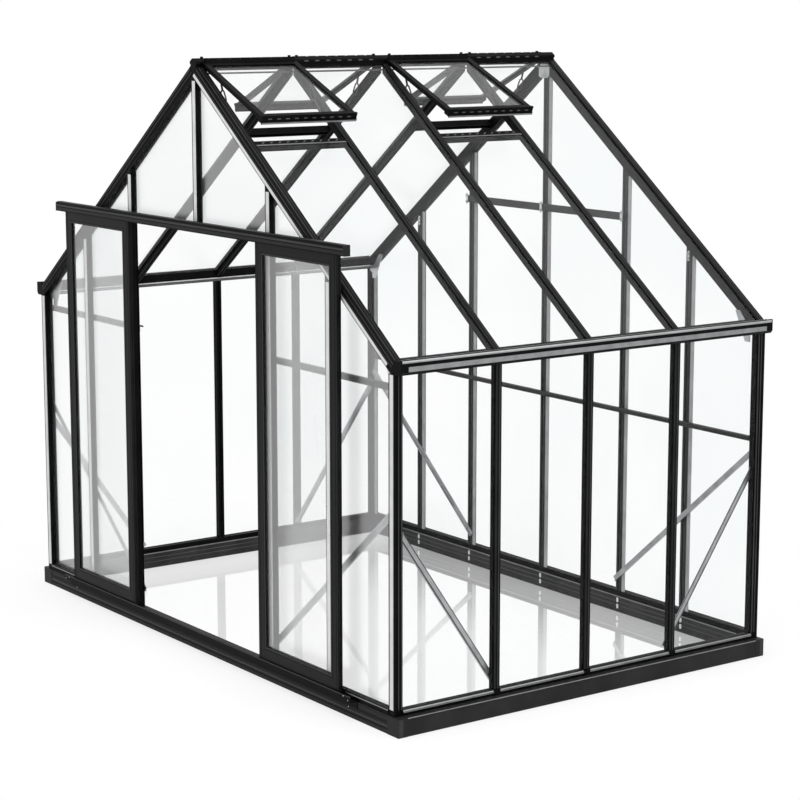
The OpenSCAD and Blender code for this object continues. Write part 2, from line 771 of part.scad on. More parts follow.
module door_header() {
  foot_reach = jamb_x + bar_width / 2;
  color([0.13, 0.13, 0.13]) on_front() outwards() {
    run_x(-track_half, track_half) header_section();
    run_x(-foot_reach, foot_reach) header_foot_section();
    for (x = [-track_half - track_wall, track_half]) run_x(x, x + track_wall) header_cap();
  }
}
// The bottom track hangs on the base and guides the lower edge of the leaves.
guide_out = leaf_front + 8;
guide_half = track_half + 28;
guide_lap = 7;
guide_shelf = leaf_low - 20;
module door_bottom_track() {
  b = base_gable_out;
  t = track_wall;
  clamp = base_height - 30;
  color([0.13, 0.13, 0.13]) on_front() outwards() run_x(-guide_half, guide_half) {
    translate([b, clamp]) square([t, guide_shelf + t - clamp]);
    translate([b, guide_shelf]) square([guide_out - b, t]);
    translate([guide_out - t, guide_shelf - 2]) square([t, leaf_low + guide_lap + 2 - guide_shelf]);
  }
}

// ---- door leaves ----
pane_y = leaf_back + (leaf_thickness - sheet) / 2;
module leaf_inside(bite, y, thick) {
  translate([stile_width - bite, y, leaf_low + bottom_rail - bite])
    cube([leaf_width - 2 * (stile_width - bite), thick, leaf_height - bottom_rail - top_rail + 2 * bite]);
}
// Joint lines where stiles and rails meet: from an outer corner to the corner of the pane.
mitre_line = 0.8;
module mitre(rail) {
  translate([0, leaf_front - mitre_line, 0]) rotate([0, -atan2(rail, stile_width), 0])
    translate([0, 0, -mitre_line / 2]) cube([norm([rail, stile_width]), 2 * mitre_line, mitre_line]);
}
module mitres() {
  for (x = [0, 1]) translate([x * leaf_width, 0, 0]) mirror([x, 0, 0]) {
    translate([0, 0, leaf_low]) mitre(bottom_rail);
    translate([0, 0, leaf_top]) mirror([0, 0, 1]) mitre(top_rail);
  }
}
module leaf_frame() {
  quirk = [14, 2.5];
  difference() {
    translate([0, leaf_back, leaf_low]) cube([leaf_width, leaf_thickness, leaf_height]);
    leaf_inside(0, 0, 2 * leaf_front);
    leaf_inside(groove_depth, pane_y - fit, groove);
    leaf_inside(quirk[0], leaf_front - quirk[1], quirk[1] + 1);
    for (x = [-1, leaf_width - 3]) translate([x, pane_y - 2, leaf_low - 1]) cube([4, 8, leaf_height + 2]);
    mitres();
  }
}
module leaf_pane() leaf_inside(sheet_bite, pane_y, sheet);
axle_radius = 4;
wheel_width = 7;
module leaf_hanger() {
  axle_z = rail_top + wheel_radius + 0.5;
  wheel_y = rail_in + 1;
  translate([-hanger_plate[0] / 2, plate_y, leaf_top])
    cube([hanger_plate[0], hanger_plate[1], axle_z + 8 - leaf_top]);
  translate([0, plate_y + hanger_plate[1], axle_z]) rotate([-90, 0, 0])
    cylinder(r = axle_radius, h = wheel_y + 1 - plate_y - hanger_plate[1], $fn = 32);
  translate([0, wheel_y, axle_z]) rotate([-90, 0, 0]) cylinder(r = wheel_radius, h = wheel_width, $fn = 64);
}
hanger_inset = 90;
module leaf_hangers() for (x = [hanger_inset, leaf_width - hanger_inset]) translate([x, 0, 0]) leaf_hanger();
module as_left() on_front() outwards() translate([-left_open - leaf_width, 0, 0]) children();
module as_right() on_front() outwards() translate([right_open, 0, 0]) children();
module left_door_frame() { color([0.15, 0.15, 0.15]) as_left() leaf_frame(); }
module left_door_pane() { color([0.85, 0.9, 0.92, 0.3]) as_left() leaf_pane(); }
module left_door_hangers() { color([0.5, 0.5, 0.5]) as_left() leaf_hangers(); }
module right_door_frame() { color([0.15, 0.15, 0.15]) as_right() leaf_frame(); }
module right_door_pane() { color([0.85, 0.9, 0.92, 0.3]) as_right() leaf_pane(); }
module right_door_hangers() { color([0.5, 0.5, 0.5]) as_right() leaf_hangers(); }

// Puts the origin in the middle of the footprint, tracks included.
module placed() translate([0, shift_y, 0]) children();

placed() front_base();
placed() rear_base();
placed() side_bases();
placed() base_corners();
placed() gable_sills();
placed() side_sills();
placed() corner_posts();
placed() left_wall_bars();
placed() right_wall_bars();
placed() left_gutter();
placed() right_gutter();
placed() ridge_bar();
placed() front_rafters();
placed() rear_rafters();
placed() left_rafters();
placed() right_rafters();
placed() front_gable_bars();
placed() door_jambs();
placed() door_lintel();
placed() door_header();
placed() door_bottom_track();
placed() rear_gable_bars();
placed() rear_crossbar();
placed() rear_mid_rail();
placed() front_side_rails();
placed() gable_braces();
placed() wall_braces();
placed() left_wall_glazing();
placed() right_wall_glazing();
placed() left_roof_glazing();
placed() right_roof_glazing();
placed() front_gable_glazing();
placed() rear_gable_glazing();
placed() vent_sills();
placed() roof_vents();
placed() vent_panes();
placed() vent_stays();
placed() eave_gussets();
placed() ridge_plates();
placed() left_door_frame();
placed() left_door_pane();
placed() left_door_hangers();
placed() right_door_frame();
placed() right_door_pane();
placed() right_door_hangers();
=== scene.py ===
# %% [markdown]
# # A walk-in greenhouse with double sliding doors
# The object is a garden greenhouse about 3.5 m wide and 2.3 m deep: extruded aluminium bars with a
# black powder coat, clear polycarbonate sheets in their grooves, two door leaves that hang from a
# header, four roof vents and two gutters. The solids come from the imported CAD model.

# %% Load the frame
import math
import bmesh
import bpy
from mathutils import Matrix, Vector


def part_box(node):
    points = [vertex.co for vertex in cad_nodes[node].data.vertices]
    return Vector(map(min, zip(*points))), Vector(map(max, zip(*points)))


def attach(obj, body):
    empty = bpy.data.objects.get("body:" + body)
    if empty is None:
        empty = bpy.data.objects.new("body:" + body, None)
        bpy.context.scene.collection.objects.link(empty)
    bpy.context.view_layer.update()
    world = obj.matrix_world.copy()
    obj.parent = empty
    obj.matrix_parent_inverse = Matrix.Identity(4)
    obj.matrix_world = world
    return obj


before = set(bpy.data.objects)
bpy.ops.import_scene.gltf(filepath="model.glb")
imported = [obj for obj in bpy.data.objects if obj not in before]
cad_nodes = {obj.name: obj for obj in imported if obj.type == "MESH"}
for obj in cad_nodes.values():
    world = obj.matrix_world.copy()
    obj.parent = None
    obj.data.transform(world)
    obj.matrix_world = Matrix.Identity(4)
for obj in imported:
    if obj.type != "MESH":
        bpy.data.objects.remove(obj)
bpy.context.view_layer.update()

# %% [markdown]
# ## The lines that everything is set out from
# A glazier measures from the frame: the faces of the corner posts, the eaves and the bars. The same
# lines are read here from the boxes of the CAD nodes, so every added strip and bolt lands on the
# bar that carries it. The few sizes that a box can't give, such as the width of a bar, are stated.

# %% Setting-out lines
post_low, post_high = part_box("corner_posts")
WALL_X = post_high.x
FRONT_Y, REAR_Y = post_low.y, post_high.y
MIDDLE_Y = (FRONT_Y + REAR_Y) / 2
SILL_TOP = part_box("gable_sills")[1].z
BEAM_LOW = post_high.z
POST, BAR, BAR_DEPTH, CAP = 0.045, 0.036, 0.034, 0.005  # post width, bar width and depth, outer cap
GABLE_SHEET = 0.026  # how deep the gable sheets lie behind the gable's face
BAY = 0.546
JAMB_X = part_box("door_jambs")[1].x - BAR / 2
STUD_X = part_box("front_gable_bars")[1].x - BAR / 2
EAVE_Z, APEX_Z = 1.702, 2.968
PITCH = math.atan((APEX_Z - EAVE_Z) / WALL_X)
END_RAFTER = 0.058  # depth of the rafters at the gables
GAP = 0.0002  # a hair of air, so that two faces never share a plane
WALL_LINES = [MIDDLE_Y - BAY, MIDDLE_Y, MIDDLE_Y + BAY]
STUD_LINES = (-STUD_X, -JAMB_X, 0.0, JAMB_X, STUD_X)
UP, TO_RIGHT, TO_FRONT = (0, 0, 1), (1, 0, 0), (0, -1, 0)


def roof_z(x, below=0.0):
    """Height of the line that lies a given depth under the roof plane, at x."""
    return APEX_Z - abs(x) * math.tan(PITCH) - below / math.cos(PITCH)


print("walls at x =", round(WALL_X, 3), "gables at y =", round(FRONT_Y, 3), round(REAR_Y, 3),
      "roof pitch", round(math.degrees(PITCH), 1), "degrees")

# %% [markdown]
# ## Two helpers for materials
# A finish is a small graph of nodes. Colours are written as sRGB hex values, as a paint chart gives
# them, and one function turns them to the linear numbers that the renderer works with. Another adds
# a node, sets its values and links its inputs, so that each material below reads as a short list.

# %% Colour and node helpers
def linear(hex_colour):
    """An sRGB hex colour as linear red, green, blue and alpha."""
    parts = [int(hex_colour[i:i + 2], 16) / 255 for i in (1, 3, 5)]
    return [c / 12.92 if c <= 0.04045 else ((c + 0.055) / 1.055) ** 2.4 for c in parts] + [1.0]


def add(tree, kind, inputs=None, **settings):
    """Adds a shader node. Settings name its properties or sockets; inputs links a socket or sets it."""
    made = tree.nodes.new("ShaderNode" + kind)
    for name, value in settings.items():
        if hasattr(made, name):
            setattr(made, name, value)
        else:
            made.inputs[name.replace("_", " ")].default_value = value
    for name, source in (inputs or {}).items():
        if isinstance(source, bpy.types.NodeSocket):
            tree.links.new(source, made.inputs[name])
        else:
            made.inputs[name].default_value = source
    return made


def finish_named(name):
    """A new material with an empty graph and its output node."""
    material = bpy.data.materials.new(name)
    material.use_nodes = True
    material.node_tree.nodes.clear()
    return material, material.node_tree, material.node_tree.nodes.new("ShaderNodeOutputMaterial")


print("helpers ready; #808080 is linear", round(linear("#808080")[0], 3))

# %% [markdown]
# ## Two patterns that all finishes share
# No real surface has one colour or is quite smooth. A soft noise lets the colour drift between two
# close shades, and the same noise moves the roughness, so the gloss is uneven in the same patches.
# A second, finer noise gives a relief. Both are worked out from a size in millimetres: a noise at
# scale 1 repeats about every metre, so its scale is 1000 divided by that size.

# %% Drifting shade and fine relief
def mottled(tree, dark, light, size_mm, detail=4.0):
    """A colour that drifts between two shades in patches of a given size. Returns colour, shade."""
    place = add(tree, "TexCoord")
    patches = add(tree, "TexNoise", {"Vector": place.outputs["Object"]}, Scale=1000 / size_mm, Detail=detail)
    ramp = add(tree, "ValToRGB", {"Fac": patches.outputs["Fac"]})
    ramp.color_ramp.elements[0].position, ramp.color_ramp.elements[0].color = 0.35, linear(dark)
    ramp.color_ramp.elements[1].position, ramp.color_ramp.elements[1].color = 0.65, linear(light)
    return ramp.outputs["Color"], patches.outputs["Fac"]


def surface_grain(tree, size_mm, height_mm, stretch=(1, 1, 1)):
    """A fine relief, stretched along an axis if it is drawn or brushed. Returns its normal."""
    place = add(tree, "TexCoord")
    turn = add(tree, "Mapping", {"Vector": place.outputs["Object"]}, Scale=stretch)
    grain = add(tree, "TexNoise", {"Vector": turn.outputs["Vector"]}, Scale=1000 / size_mm, Detail=2.0)
    relief = add(tree, "Bump", {"Height": grain.outputs["Fac"]}, Strength=0.5, Distance=height_mm / 1000)
    return relief.outputs["Normal"]


print("a 3 mm grain has the noise scale", round(1000 / 3.0))

# %% [markdown]
# ## Satin black powder coat
# The bars are extruded aluminium, sprayed with dry paint powder and baked. The baked film flows into
# a faint orange peel with waves of about 2 mm, drawn 3 mm long here so that they show. It shines
# softly, with a roughness near 0.45. Paint is a plastic film, so metallic stays 0. The coat is a deep
# neutral black, so the shine is kept low by the specular level. On the rear gable's bars and on the
# base, the faces that look into the house get a second, lighter grey: this is painted light, which
# stands in for the light that those faces catch. The graph finds them by their normal: it points
# towards the middle of the house, and not upwards.

# %% Powder coat
def faces_inwards(tree):
    """1 on faces that look towards the middle of the house, 0 on the rest."""
    side = add(tree, "NewGeometry")
    from_middle = add(tree, "VectorMath", {0: side.outputs["Position"], 1: (0.0, MIDDLE_Y, 1.1)},
                      operation="SUBTRACT")
    along = add(tree, "VectorMath", {0: side.outputs["Normal"], 1: from_middle.outputs["Vector"]},
                operation="DOT_PRODUCT")
    inward = add(tree, "Math", {0: along.outputs["Value"], 1: -0.9}, operation="LESS_THAN")
    tilt = add(tree, "SeparateXYZ", {"Vector": side.outputs["Normal"]})
    not_up = add(tree, "Math", {0: tilt.outputs["Z"], 1: 0.3}, operation="LESS_THAN")
    return add(tree, "Math", {0: inward.outputs["Value"], 1: not_up.outputs["Value"]}, operation="MULTIPLY")


def powder_coat(name, dark, light, rough, shine, inner=None):
    material, tree, out = finish_named(name)
    colour, shade = mottled(tree, dark, light, size_mm=180)
    # The lighter shades are painted light, on the faces that look into the house.
    if inner:
        painted_lighter, _ = mottled(tree, inner[0], inner[1], size_mm=120)
        both = add(tree, "Mix", {0: faces_inwards(tree).outputs["Value"], 6: colour, 7: painted_lighter}, data_type="RGBA")
        colour = both.outputs[2]
    gloss = add(tree, "MapRange", {"Value": shade}, From_Min=0.3, From_Max=0.7,
                To_Min=rough - 0.05, To_Max=rough + 0.07)
    paint = add(tree, "BsdfPrincipled", {
        "Base Color": colour, "Roughness": gloss.outputs["Result"],
        "Normal": surface_grain(tree, size_mm=3.0, height_mm=0.05)}, IOR=1.5, Specular_IOR_Level=shine)
    tree.links.new(paint.outputs["BSDF"], out.inputs["Surface"])
    return material


black_coat = powder_coat("satin_black_powder_coat", "#070707", "#0e0e0e", 0.42, 0.04)
# In this coat and the next, the second pair of shades is painted light on the faces that look inwards.
inward_lit_coat = powder_coat("inward_painted_light_coat", "#070707", "#0e0e0e", 0.42, 0.04, ("#303030", "#3c3c3c"))
base_coat = powder_coat("plinth_powder_coat", "#222222", "#2b2b2b", 0.45, 0.08, ("#2e2e2e", "#3a3a3a"))
door_coat = powder_coat("door_leaf_powder_coat", "#121212", "#1b1b1b", 0.40, 0.08)
rail_coat = powder_coat("inner_rail_powder_coat", "#303030", "#3c3c3c", 0.5, 0.12)
# A lighter grey: a painted sheen on the bars' lands, and also the door header's colour.
sheen_band_coat = powder_coat("lighter_sheen_powder_coat", "#1e1e1e", "#262626", 0.42, 0.08)
# A lighter grey that paints highlights on ribs, front lines and base corners.
rib_highlight_coat = powder_coat("rib_highlight_powder_coat", "#323232", "#3c3c3c", 0.38, 0.10)
mid_coat = powder_coat("grey_trim_powder_coat", "#525252", "#5e5e5e", 0.40, 0.12)
print("powder coats:", black_coat.name, door_coat.name, rail_coat.name, rib_highlight_coat.name)

# %% [markdown]
# ## Mill-finish aluminium
# Braces, vent stays, plates, cleats and bare trims are aluminium as it leaves the die: a grey metal
# with fine die lines along its length and a blurred reflection. It is a true metal, so metallic is 1,
# the IOR stays at its default, and the roughness is 0.3 to 0.5. Real die lines are about 0.2 mm
# apart, too fine to show, so they are drawn 2 mm apart and drawn out along the profile.

# %% Mill aluminium
def mill_aluminium(name, dark, light, rough, stretch=(1, 1, 0.04)):
    material, tree, out = finish_named(name)
    colour, shade = mottled(tree, dark, light, size_mm=60)
    gloss = add(tree, "MapRange", {"Value": shade}, From_Min=0.3, From_Max=0.7,
                To_Min=rough - 0.06, To_Max=rough + 0.1)
    metal = add(tree, "BsdfPrincipled", {
        "Base Color": colour, "Roughness": gloss.outputs["Result"],
        "Normal": surface_grain(tree, size_mm=2.0, height_mm=0.04, stretch=stretch)}, Metallic=1.0)
    tree.links.new(metal.outputs["BSDF"], out.inputs["Surface"])
    return material


brace_alloy = mill_aluminium("brace_mill_aluminium", "#98999b", "#b0b1b3", 0.42, (1, 0.2, 1))
fitting_alloy = mill_aluminium("fitting_mill_aluminium", "#a2a4a6", "#c6c8ca", 0.34)
stay_alloy = mill_aluminium("dark_stay_aluminium", "#3c3d3e", "#5a5b5c", 0.35, (1, 1, 1))
bright_alloy = mill_aluminium("bright_cleat_aluminium", "#dcdddd", "#ececec", 0.35, (1, 1, 1))
# Pale metal on the gutter's lip: a painted highlight.
lip_highlight_alloy = mill_aluminium("gutter_lip_highlight_aluminium", "#98999a", "#a8a9aa", 0.38, (1, 0.04, 1))
fascia_alloy = mill_aluminium("grey_fascia_aluminium", "#7e7f80", "#929394", 0.45, (1, 0.04, 1))
print("metals:", brace_alloy.name, fitting_alloy.name, lip_highlight_alloy.name, fascia_alloy.name)

# %% [markdown]
# ## Clear polycarbonate sheet
# The glazing is extruded clear polycarbonate, 4 mm thick. It lets nearly all light through and
# mirrors a little at its faces, more the flatter one looks along it, which lays a pale veil over
# what is behind. A sheet this thin and flat doesn't bend the view, so a transparent shader and a
# glossy one are mixed by the angle: veil is the share seen straight on, and rise is how late it
# grows. Only faces turned to the eye mirror, so that a sheet isn't counted twice, and only for the
# eye and for mirrors: light itself passes, as sheets this clear throw next to no shadow. The drawn
# skin blurs the mirror image, and a small share of it is haze, light that the skin scatters. The
# door gable has the harder, coated grade, which mirrors more, and the door leaves have a thinner
# coat. Long waves from the extruder, about 300 mm apart, move the mirror image.

# %% Clear polycarbonate
def clear_sheet(name, tint, veil, rise, haze_share):
    material, tree, out = finish_named(name)
    angle = add(tree, "LayerWeight", Blend=0.5)
    steep = add(tree, "Math", {0: angle.outputs["Facing"], 1: rise}, operation="POWER")
    mirror_share = add(tree, "MapRange", {"Value": steep.outputs["Value"]}, To_Min=veil, To_Max=1.0)
    side = add(tree, "NewGeometry")
    outer_only = add(tree, "Math", {0: mirror_share.outputs["Result"], 1: side.outputs["Backfacing"]},
                     operation="SUBTRACT", use_clamp=True)
    path = add(tree, "LightPath")
    looked_at = add(tree, "Math", {0: path.outputs["Is Camera Ray"], 1: path.outputs["Is Glossy Ray"]},
                    operation="MAXIMUM")
    share = add(tree, "Math", {0: outer_only.outputs["Value"], 1: looked_at.outputs["Value"]},
                operation="MULTIPLY")
    colour, _ = mottled(tree, tint, "#ffffff", size_mm=900)
    through = add(tree, "BsdfTransparent", {"Color": colour})
    waves = surface_grain(tree, size_mm=300, height_mm=0.4)
    gloss = add(tree, "BsdfGlossy", {"Normal": waves}, Color=(1, 1, 1, 1), Roughness=0.3)
    haze = add(tree, "BsdfTranslucent", Color=(1, 1, 1, 1))
    shine = add(tree, "MixShader", {1: gloss.outputs["BSDF"], 2: haze.outputs["BSDF"]}, Fac=haze_share)
    both = add(tree, "MixShader", {0: share.outputs["Value"], 1: through.outputs["BSDF"],
                                   2: shine.outputs["Shader"]})
    tree.links.new(both.outputs["Shader"], out.inputs["Surface"])
    return material


polycarbonate = clear_sheet("clear_polycarbonate", "#fdfefe", veil=0.013, rise=4.0, haze_share=0.2)
hard_coated = clear_sheet("hard_coated_polycarbonate", "#fdfefe", veil=0.15, rise=2.3, haze_share=0.1)
door_sheet = clear_sheet("door_coated_polycarbonate", "#fdfefe", veil=0.10, rise=2.3, haze_share=0.1)
print("sheets:", polycarbonate.name, hard_coated.name, door_sheet.name)

# %% [markdown]
# ## Painted highlights, rubber and zinc
# The pale strips on the gable bars and the lips of the eave trims are painted highlights: a pale
# finish with a soft shine that stands in for the light those faces catch. The grey beads inside the
# rear gable are a painted highlight too. Gaskets are black EPDM rubber, nearly matt. Their moulded
# skin has a grain of about 0.5 mm, drawn 2 to 4 mm wide so that it shows. Bolts are zinc plated
# steel, a metal with a light blue-grey tone.

# %% Strips, gaskets and fasteners
def moulded(name, dark, light, rough, grain_mm):
    material, tree, out = finish_named(name)
    colour, shade = mottled(tree, dark, light, size_mm=90)
    gloss = add(tree, "MapRange", {"Value": shade}, From_Min=0.3, From_Max=0.7,
                To_Min=rough - 0.05, To_Max=rough + 0.08)
    plastic = add(tree, "BsdfPrincipled", {
        "Base Color": colour, "Roughness": gloss.outputs["Result"],
        "Normal": surface_grain(tree, size_mm=grain_mm, height_mm=0.05)}, IOR=1.5)
    tree.links.new(plastic.outputs["BSDF"], out.inputs["Surface"])
    return material


# Pale painted highlights for the gable bars and the eave lips.
painted_highlight_finish = moulded("pale_painted_highlight", "#c8c9c9", "#d8d8d8", 0.38, 4.0)
# A grey painted highlight for the rear gable's beads.
bead_highlight_finish = moulded("painted_bead_highlight", "#8e8f8f", "#a0a1a1", 0.45, 4.0)
gasket_rubber = moulded("black_gasket_rubber", "#101010", "#181818", 0.7, 2.0)
zinc_steel = mill_aluminium("zinc_plated_steel", "#a6a9ad", "#c2c5c9", 0.3, (1, 1, 1))
print("strips and fasteners:", painted_highlight_finish.name, gasket_rubber.name, zinc_steel.name)

# %% [markdown]
# ## Dressing the CAD nodes
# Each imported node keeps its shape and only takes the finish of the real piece.

# %% Finishes for the frame
PARTS_BY_FINISH = (
    (black_coat, "gable_sills side_sills corner_posts left_wall_bars right_wall_bars left_gutter right_gutter "
                 "ridge_bar front_rafters rear_rafters left_rafters right_rafters front_gable_bars door_jambs "
                 "door_lintel door_bottom_track vent_sills roof_vents"),
    (inward_lit_coat, "rear_gable_bars"),
    (base_coat, "front_base rear_base side_bases base_corners"),
    (sheen_band_coat, "door_header"),
    (rail_coat, "rear_crossbar rear_mid_rail front_side_rails"),
    (door_coat, "left_door_frame right_door_frame"),
    (brace_alloy, "gable_braces wall_braces"),
    (stay_alloy, "vent_stays"),
    (fitting_alloy, "eave_gussets ridge_plates left_door_hangers right_door_hangers"),
    (polycarbonate, "left_wall_glazing right_wall_glazing left_roof_glazing right_roof_glazing "
                    "rear_gable_glazing vent_panes"),
    (hard_coated, "front_gable_glazing"),
    (door_sheet, "left_door_pane right_door_pane"),
)
dressed = 0
for finish, node_names in PARTS_BY_FINISH:
    for node_name in node_names.split():
        solid = cad_nodes[node_name]
        solid.data.materials.clear()
        solid.data.materials.append(finish)
        dressed += 1
print(dressed, "nodes dressed of", len(cad_nodes))

# %% [markdown]
# ## Helpers that make extruded strips
# Most of the thin parts are extrusions too: one small profile drawn along a straight line. The first
# helper sweeps an outline from a start to an end, so strips, beads and gaskets are the real profile
# at its real length. A cube could stand in for a strip, but its sharp edges would catch no light, so
# the outlines have sloped shoulders, as a die leaves them. The last helper turns a mesh into a piece.

# %% Sweeping a profile
def sweep(mesh, outline, start, end, across, out):
    """Draws a closed outline of (across, out) pairs in metres from start to end, ends closed."""
    across, out = Vector(across), Vector(out)
    rings = []
    for point in (Vector(start), Vector(end)):
        rings.append([mesh.verts.new(point + across * a + out * b) for a, b in outline])
    count = len(outline)
    for i in range(count):
        j = (i + 1) % count
        mesh.faces.new((rings[0][i], rings[0][j], rings[1][j], rings[1][i]))
    mesh.faces.new(rings[0][::-1])
    mesh.faces.new(rings[1])


def strip_outline(width, height, offset=0.0, crown=0.35):
    """A flat strip with sloped shoulders: its foot is on the bar, its face a little narrower."""
    half, top = width / 2, width / 2 - height * crown
    return [(offset - half, 0.0), (offset + half, 0.0), (offset + half, height * 0.5),
            (offset + top, height), (offset - top, height), (offset - half, height * 0.5)]


def round_outline(radius, steps=10, centre=(0.0, 0.0), turn=360.0, begin=0.0):
    """A circle or an arc of it, as a closed outline."""
    count = steps if turn == 360.0 else steps + 1
    return [(centre[0] + radius * math.cos(math.radians(begin + turn * k / steps)),
             centre[1] + radius * math.sin(math.radians(begin + turn * k / steps))) for k in range(count)]


def make_piece(name, mesh, finish, body="house"):
    """Turns a bmesh into a piece with its finish and slot, that rides on a CAD body."""
    bmesh.ops.recalc_face_normals(mesh, faces=mesh.faces)
    data = bpy.data.meshes.new(name)
    mesh.to_mesh(data)
    mesh.free()
    data.materials.append(finish)
    made = bpy.data.objects.new(name, data)
    bpy.context.scene.collection.objects.link(made)
    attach(made, body)
    print(name, "has", len(data.polygons), "faces")


print("a strip's outline has", len(strip_outline(0.02, 0.002)), "corners")

# %% [markdown]
# ## Painted highlights on the gables
# Each gable bar carries a pale strip on its face, which is a painted highlight: it stands in for the
# white reflection along the bar's face. It is the brightest line on the dark bar: 27 mm wide, and set
# off by 4 mm so that one black margin is wider. The strips on the door jambs stop at the header's
# foot and go on above it. One sloping rafter of each gable has a slimmer painted highlight along its
# lower edge. The rear gable is the same kit turned round.

# %% Gable strips
STRIP_SHIFT, STRIP_HEIGHT = 0.004, 0.0016
HEADER_FOOT, HEADER_BACK = 2.163, 2.185  # the jambs' strips leave this height free for the header
RAFTER_STRIP, RAFTER_STRIP_DROP = 0.016, 0.045  # width, and depth under the roof plane
RIDGE_END, EAVE_END = 0.040, 0.038  # what the sloping strip leaves free at its ends
strip_face = strip_outline(0.027, STRIP_HEIGHT)


def gable_highlight_strips(name, y, turned, with_door):
    """Painted highlight strips on one gable; turned is 1 for the front and -1 for the rear."""
    mesh = bmesh.new()
    out = (0, -turned, 0)
    low = SILL_TOP + 0.001
    for x in STUD_LINES:
        centre = x + turned * STRIP_SHIFT
        top = roof_z(abs(x) + BAR / 2, END_RAFTER) - 0.003
        spans = [(low, top)]
        if with_door and abs(x) == JAMB_X:
            spans = [(low, HEADER_FOOT), (HEADER_BACK, top)]
        if with_door and x == 0.0:
            spans = [(HEADER_BACK, top)]
        for foot, head in spans:
            sweep(mesh, strip_face, (centre, y, foot), (centre, y, head), TO_RIGHT, out)
    for x in (-WALL_X + POST / 2, WALL_X - POST / 2):
        sweep(mesh, strip_face, (x, y, low), (x, y, BEAM_LOW - 0.002), TO_RIGHT, out)
    down = Vector((turned * math.cos(PITCH), 0, -math.sin(PITCH)))
    into = Vector((-turned * math.sin(PITCH), 0, -math.cos(PITCH)))
    start = Vector((0, y, APEX_Z)) + into * RAFTER_STRIP_DROP + down * RIDGE_END
    length = WALL_X / math.cos(PITCH) - RIDGE_END - EAVE_END
    sweep(mesh, strip_outline(RAFTER_STRIP, STRIP_HEIGHT), start, start + down * length, into, out)
    make_piece(name, mesh, painted_highlight_finish)


# The pale strips on the gables are painted highlights.
gable_highlight_strips("front_gable_highlights", FRONT_Y, 1, True)
gable_highlight_strips("rear_gable_highlights", REAR_Y, -1, False)

# %% [markdown]
# ## Painted highlights on the rear beads
# Seen from inside, each bar of the rear gable shows a grey bead on one side of it, along the sheet's
# edge, with a black rubber lip between the two. The bead's grey is a painted highlight, on the side
# of every bar that catches the light, so it is on the same side all along. The beads lie on the
# sheet, which sits deep in the bar.

# %% Inner beads
LIP, BEAD = 0.010, 0.034  # the lip reaches 10 mm from the bar, the bead goes on to 34 mm
bead_profile = [(LIP, 0.0), (BEAD, 0.0), (BEAD, 0.002), (BEAD - 0.003, 0.0034), (LIP, 0.0034)]
lip_profile = [(0.0, 0.0), (LIP, 0.0), (LIP, 0.0018), (0.0, 0.003)]
gable_inner = REAR_Y - GABLE_SHEET - 0.0043
corner_line = -WALL_X + POST - BAR / 2
bead_highlights, bead_gaskets = bmesh.new(), bmesh.new()
for x in (corner_line,) + STUD_LINES:
    edge = x + BAR / 2 + GAP
    top = roof_z(max(abs(edge), abs(edge + BEAD)), END_RAFTER) - 0.002
    if x == corner_line:
        top = min(top, BEAM_LOW - 0.002)
    for mesh, profile in ((bead_highlights, bead_profile), (bead_gaskets, lip_profile)):
        sweep(mesh, profile, (edge, gable_inner, SILL_TOP + 0.002), (edge, gable_inner, top), TO_RIGHT, TO_FRONT)
make_piece("rear_bead_gaskets", bead_gaskets, gasket_rubber)
# The grey beads are a painted highlight.
make_piece("rear_bead_highlights", bead_highlights, bead_highlight_finish)

# %% [markdown]
# ## Glazing clips on the left wall
# On the left wall the sheets are held by short clips instead of a bead: each is 80 mm long, and they
# follow each other every 144 mm up the bar. They are drawn in a lighter grey as painted highlights,
# so they show as a slightly lighter dashed line.

# %% Wall clips
CLIP, CLIP_PITCH, CLIPS_PER_BAR = 0.080, 0.144, 10
clip_profile = [(0.0, 0.0), (0.008, 0.0), (0.008, 0.004), (0.005, 0.010), (0.0, 0.012)]
clip_x = -(WALL_X - CAP - 0.0043)
clips = bmesh.new()
for y in WALL_LINES:
    edge = y + BAR / 2 + GAP
    for k in range(CLIPS_PER_BAR):
        low = SILL_TOP + 0.060 + k * CLIP_PITCH
        sweep(clips, clip_profile, (clip_x, edge, low), (clip_x, edge, low + CLIP), (0, 1, 0), TO_RIGHT)
# The clips' lighter grey is a painted highlight.
make_piece("left_wall_clip_highlights", clips, rail_coat)

# %% [markdown]
# ## Gutter bead and fascia
# The gutter's lip is a thick rolled bead, drawn in pale bare metal as a painted highlight along the
# lip, with a black cove under it, and the lower half of the gutter's face is a grey fascia. Inside the
# house a slim trim closes the eave beam: a pale lip, a painted highlight, above a grey face. The bead
# stops at the black end blocks, the others at the posts.

# %% Eave trims
gutter_low, gutter_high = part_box("right_gutter")
GUTTER_X, LIP_Z = gutter_high.x, gutter_high.z
BEAD_RADIUS = 0.0105
bead_arc = round_outline(BEAD_RADIUS, 16, (-0.0085, 0.0), 200.0, -78.0)
bead_z = LIP_Z + 0.0005 - BEAD_RADIUS
fascia_low, fascia_high = BEAM_LOW + 0.015, LIP_Z - 0.032
fascia_outline, fascia_z = strip_outline(fascia_high - fascia_low, 0.0015), (fascia_low + fascia_high) / 2
trim_outline = [(0.0, 0.0), (0.013, 0.0), (0.013, 0.0012), (0.0, 0.0012)]
lip_outline = [(0.0, 0.0), (0.006, 0.0), (0.005, 0.006), (0.001, 0.006)]
bead_ends = gutter_low.y + 0.007, gutter_high.y - 0.007
fascia_ends = bead_ends[0] + 0.034, bead_ends[1] - 0.034
trim_ends = FRONT_Y + POST + 0.006, REAR_Y - POST - 0.006
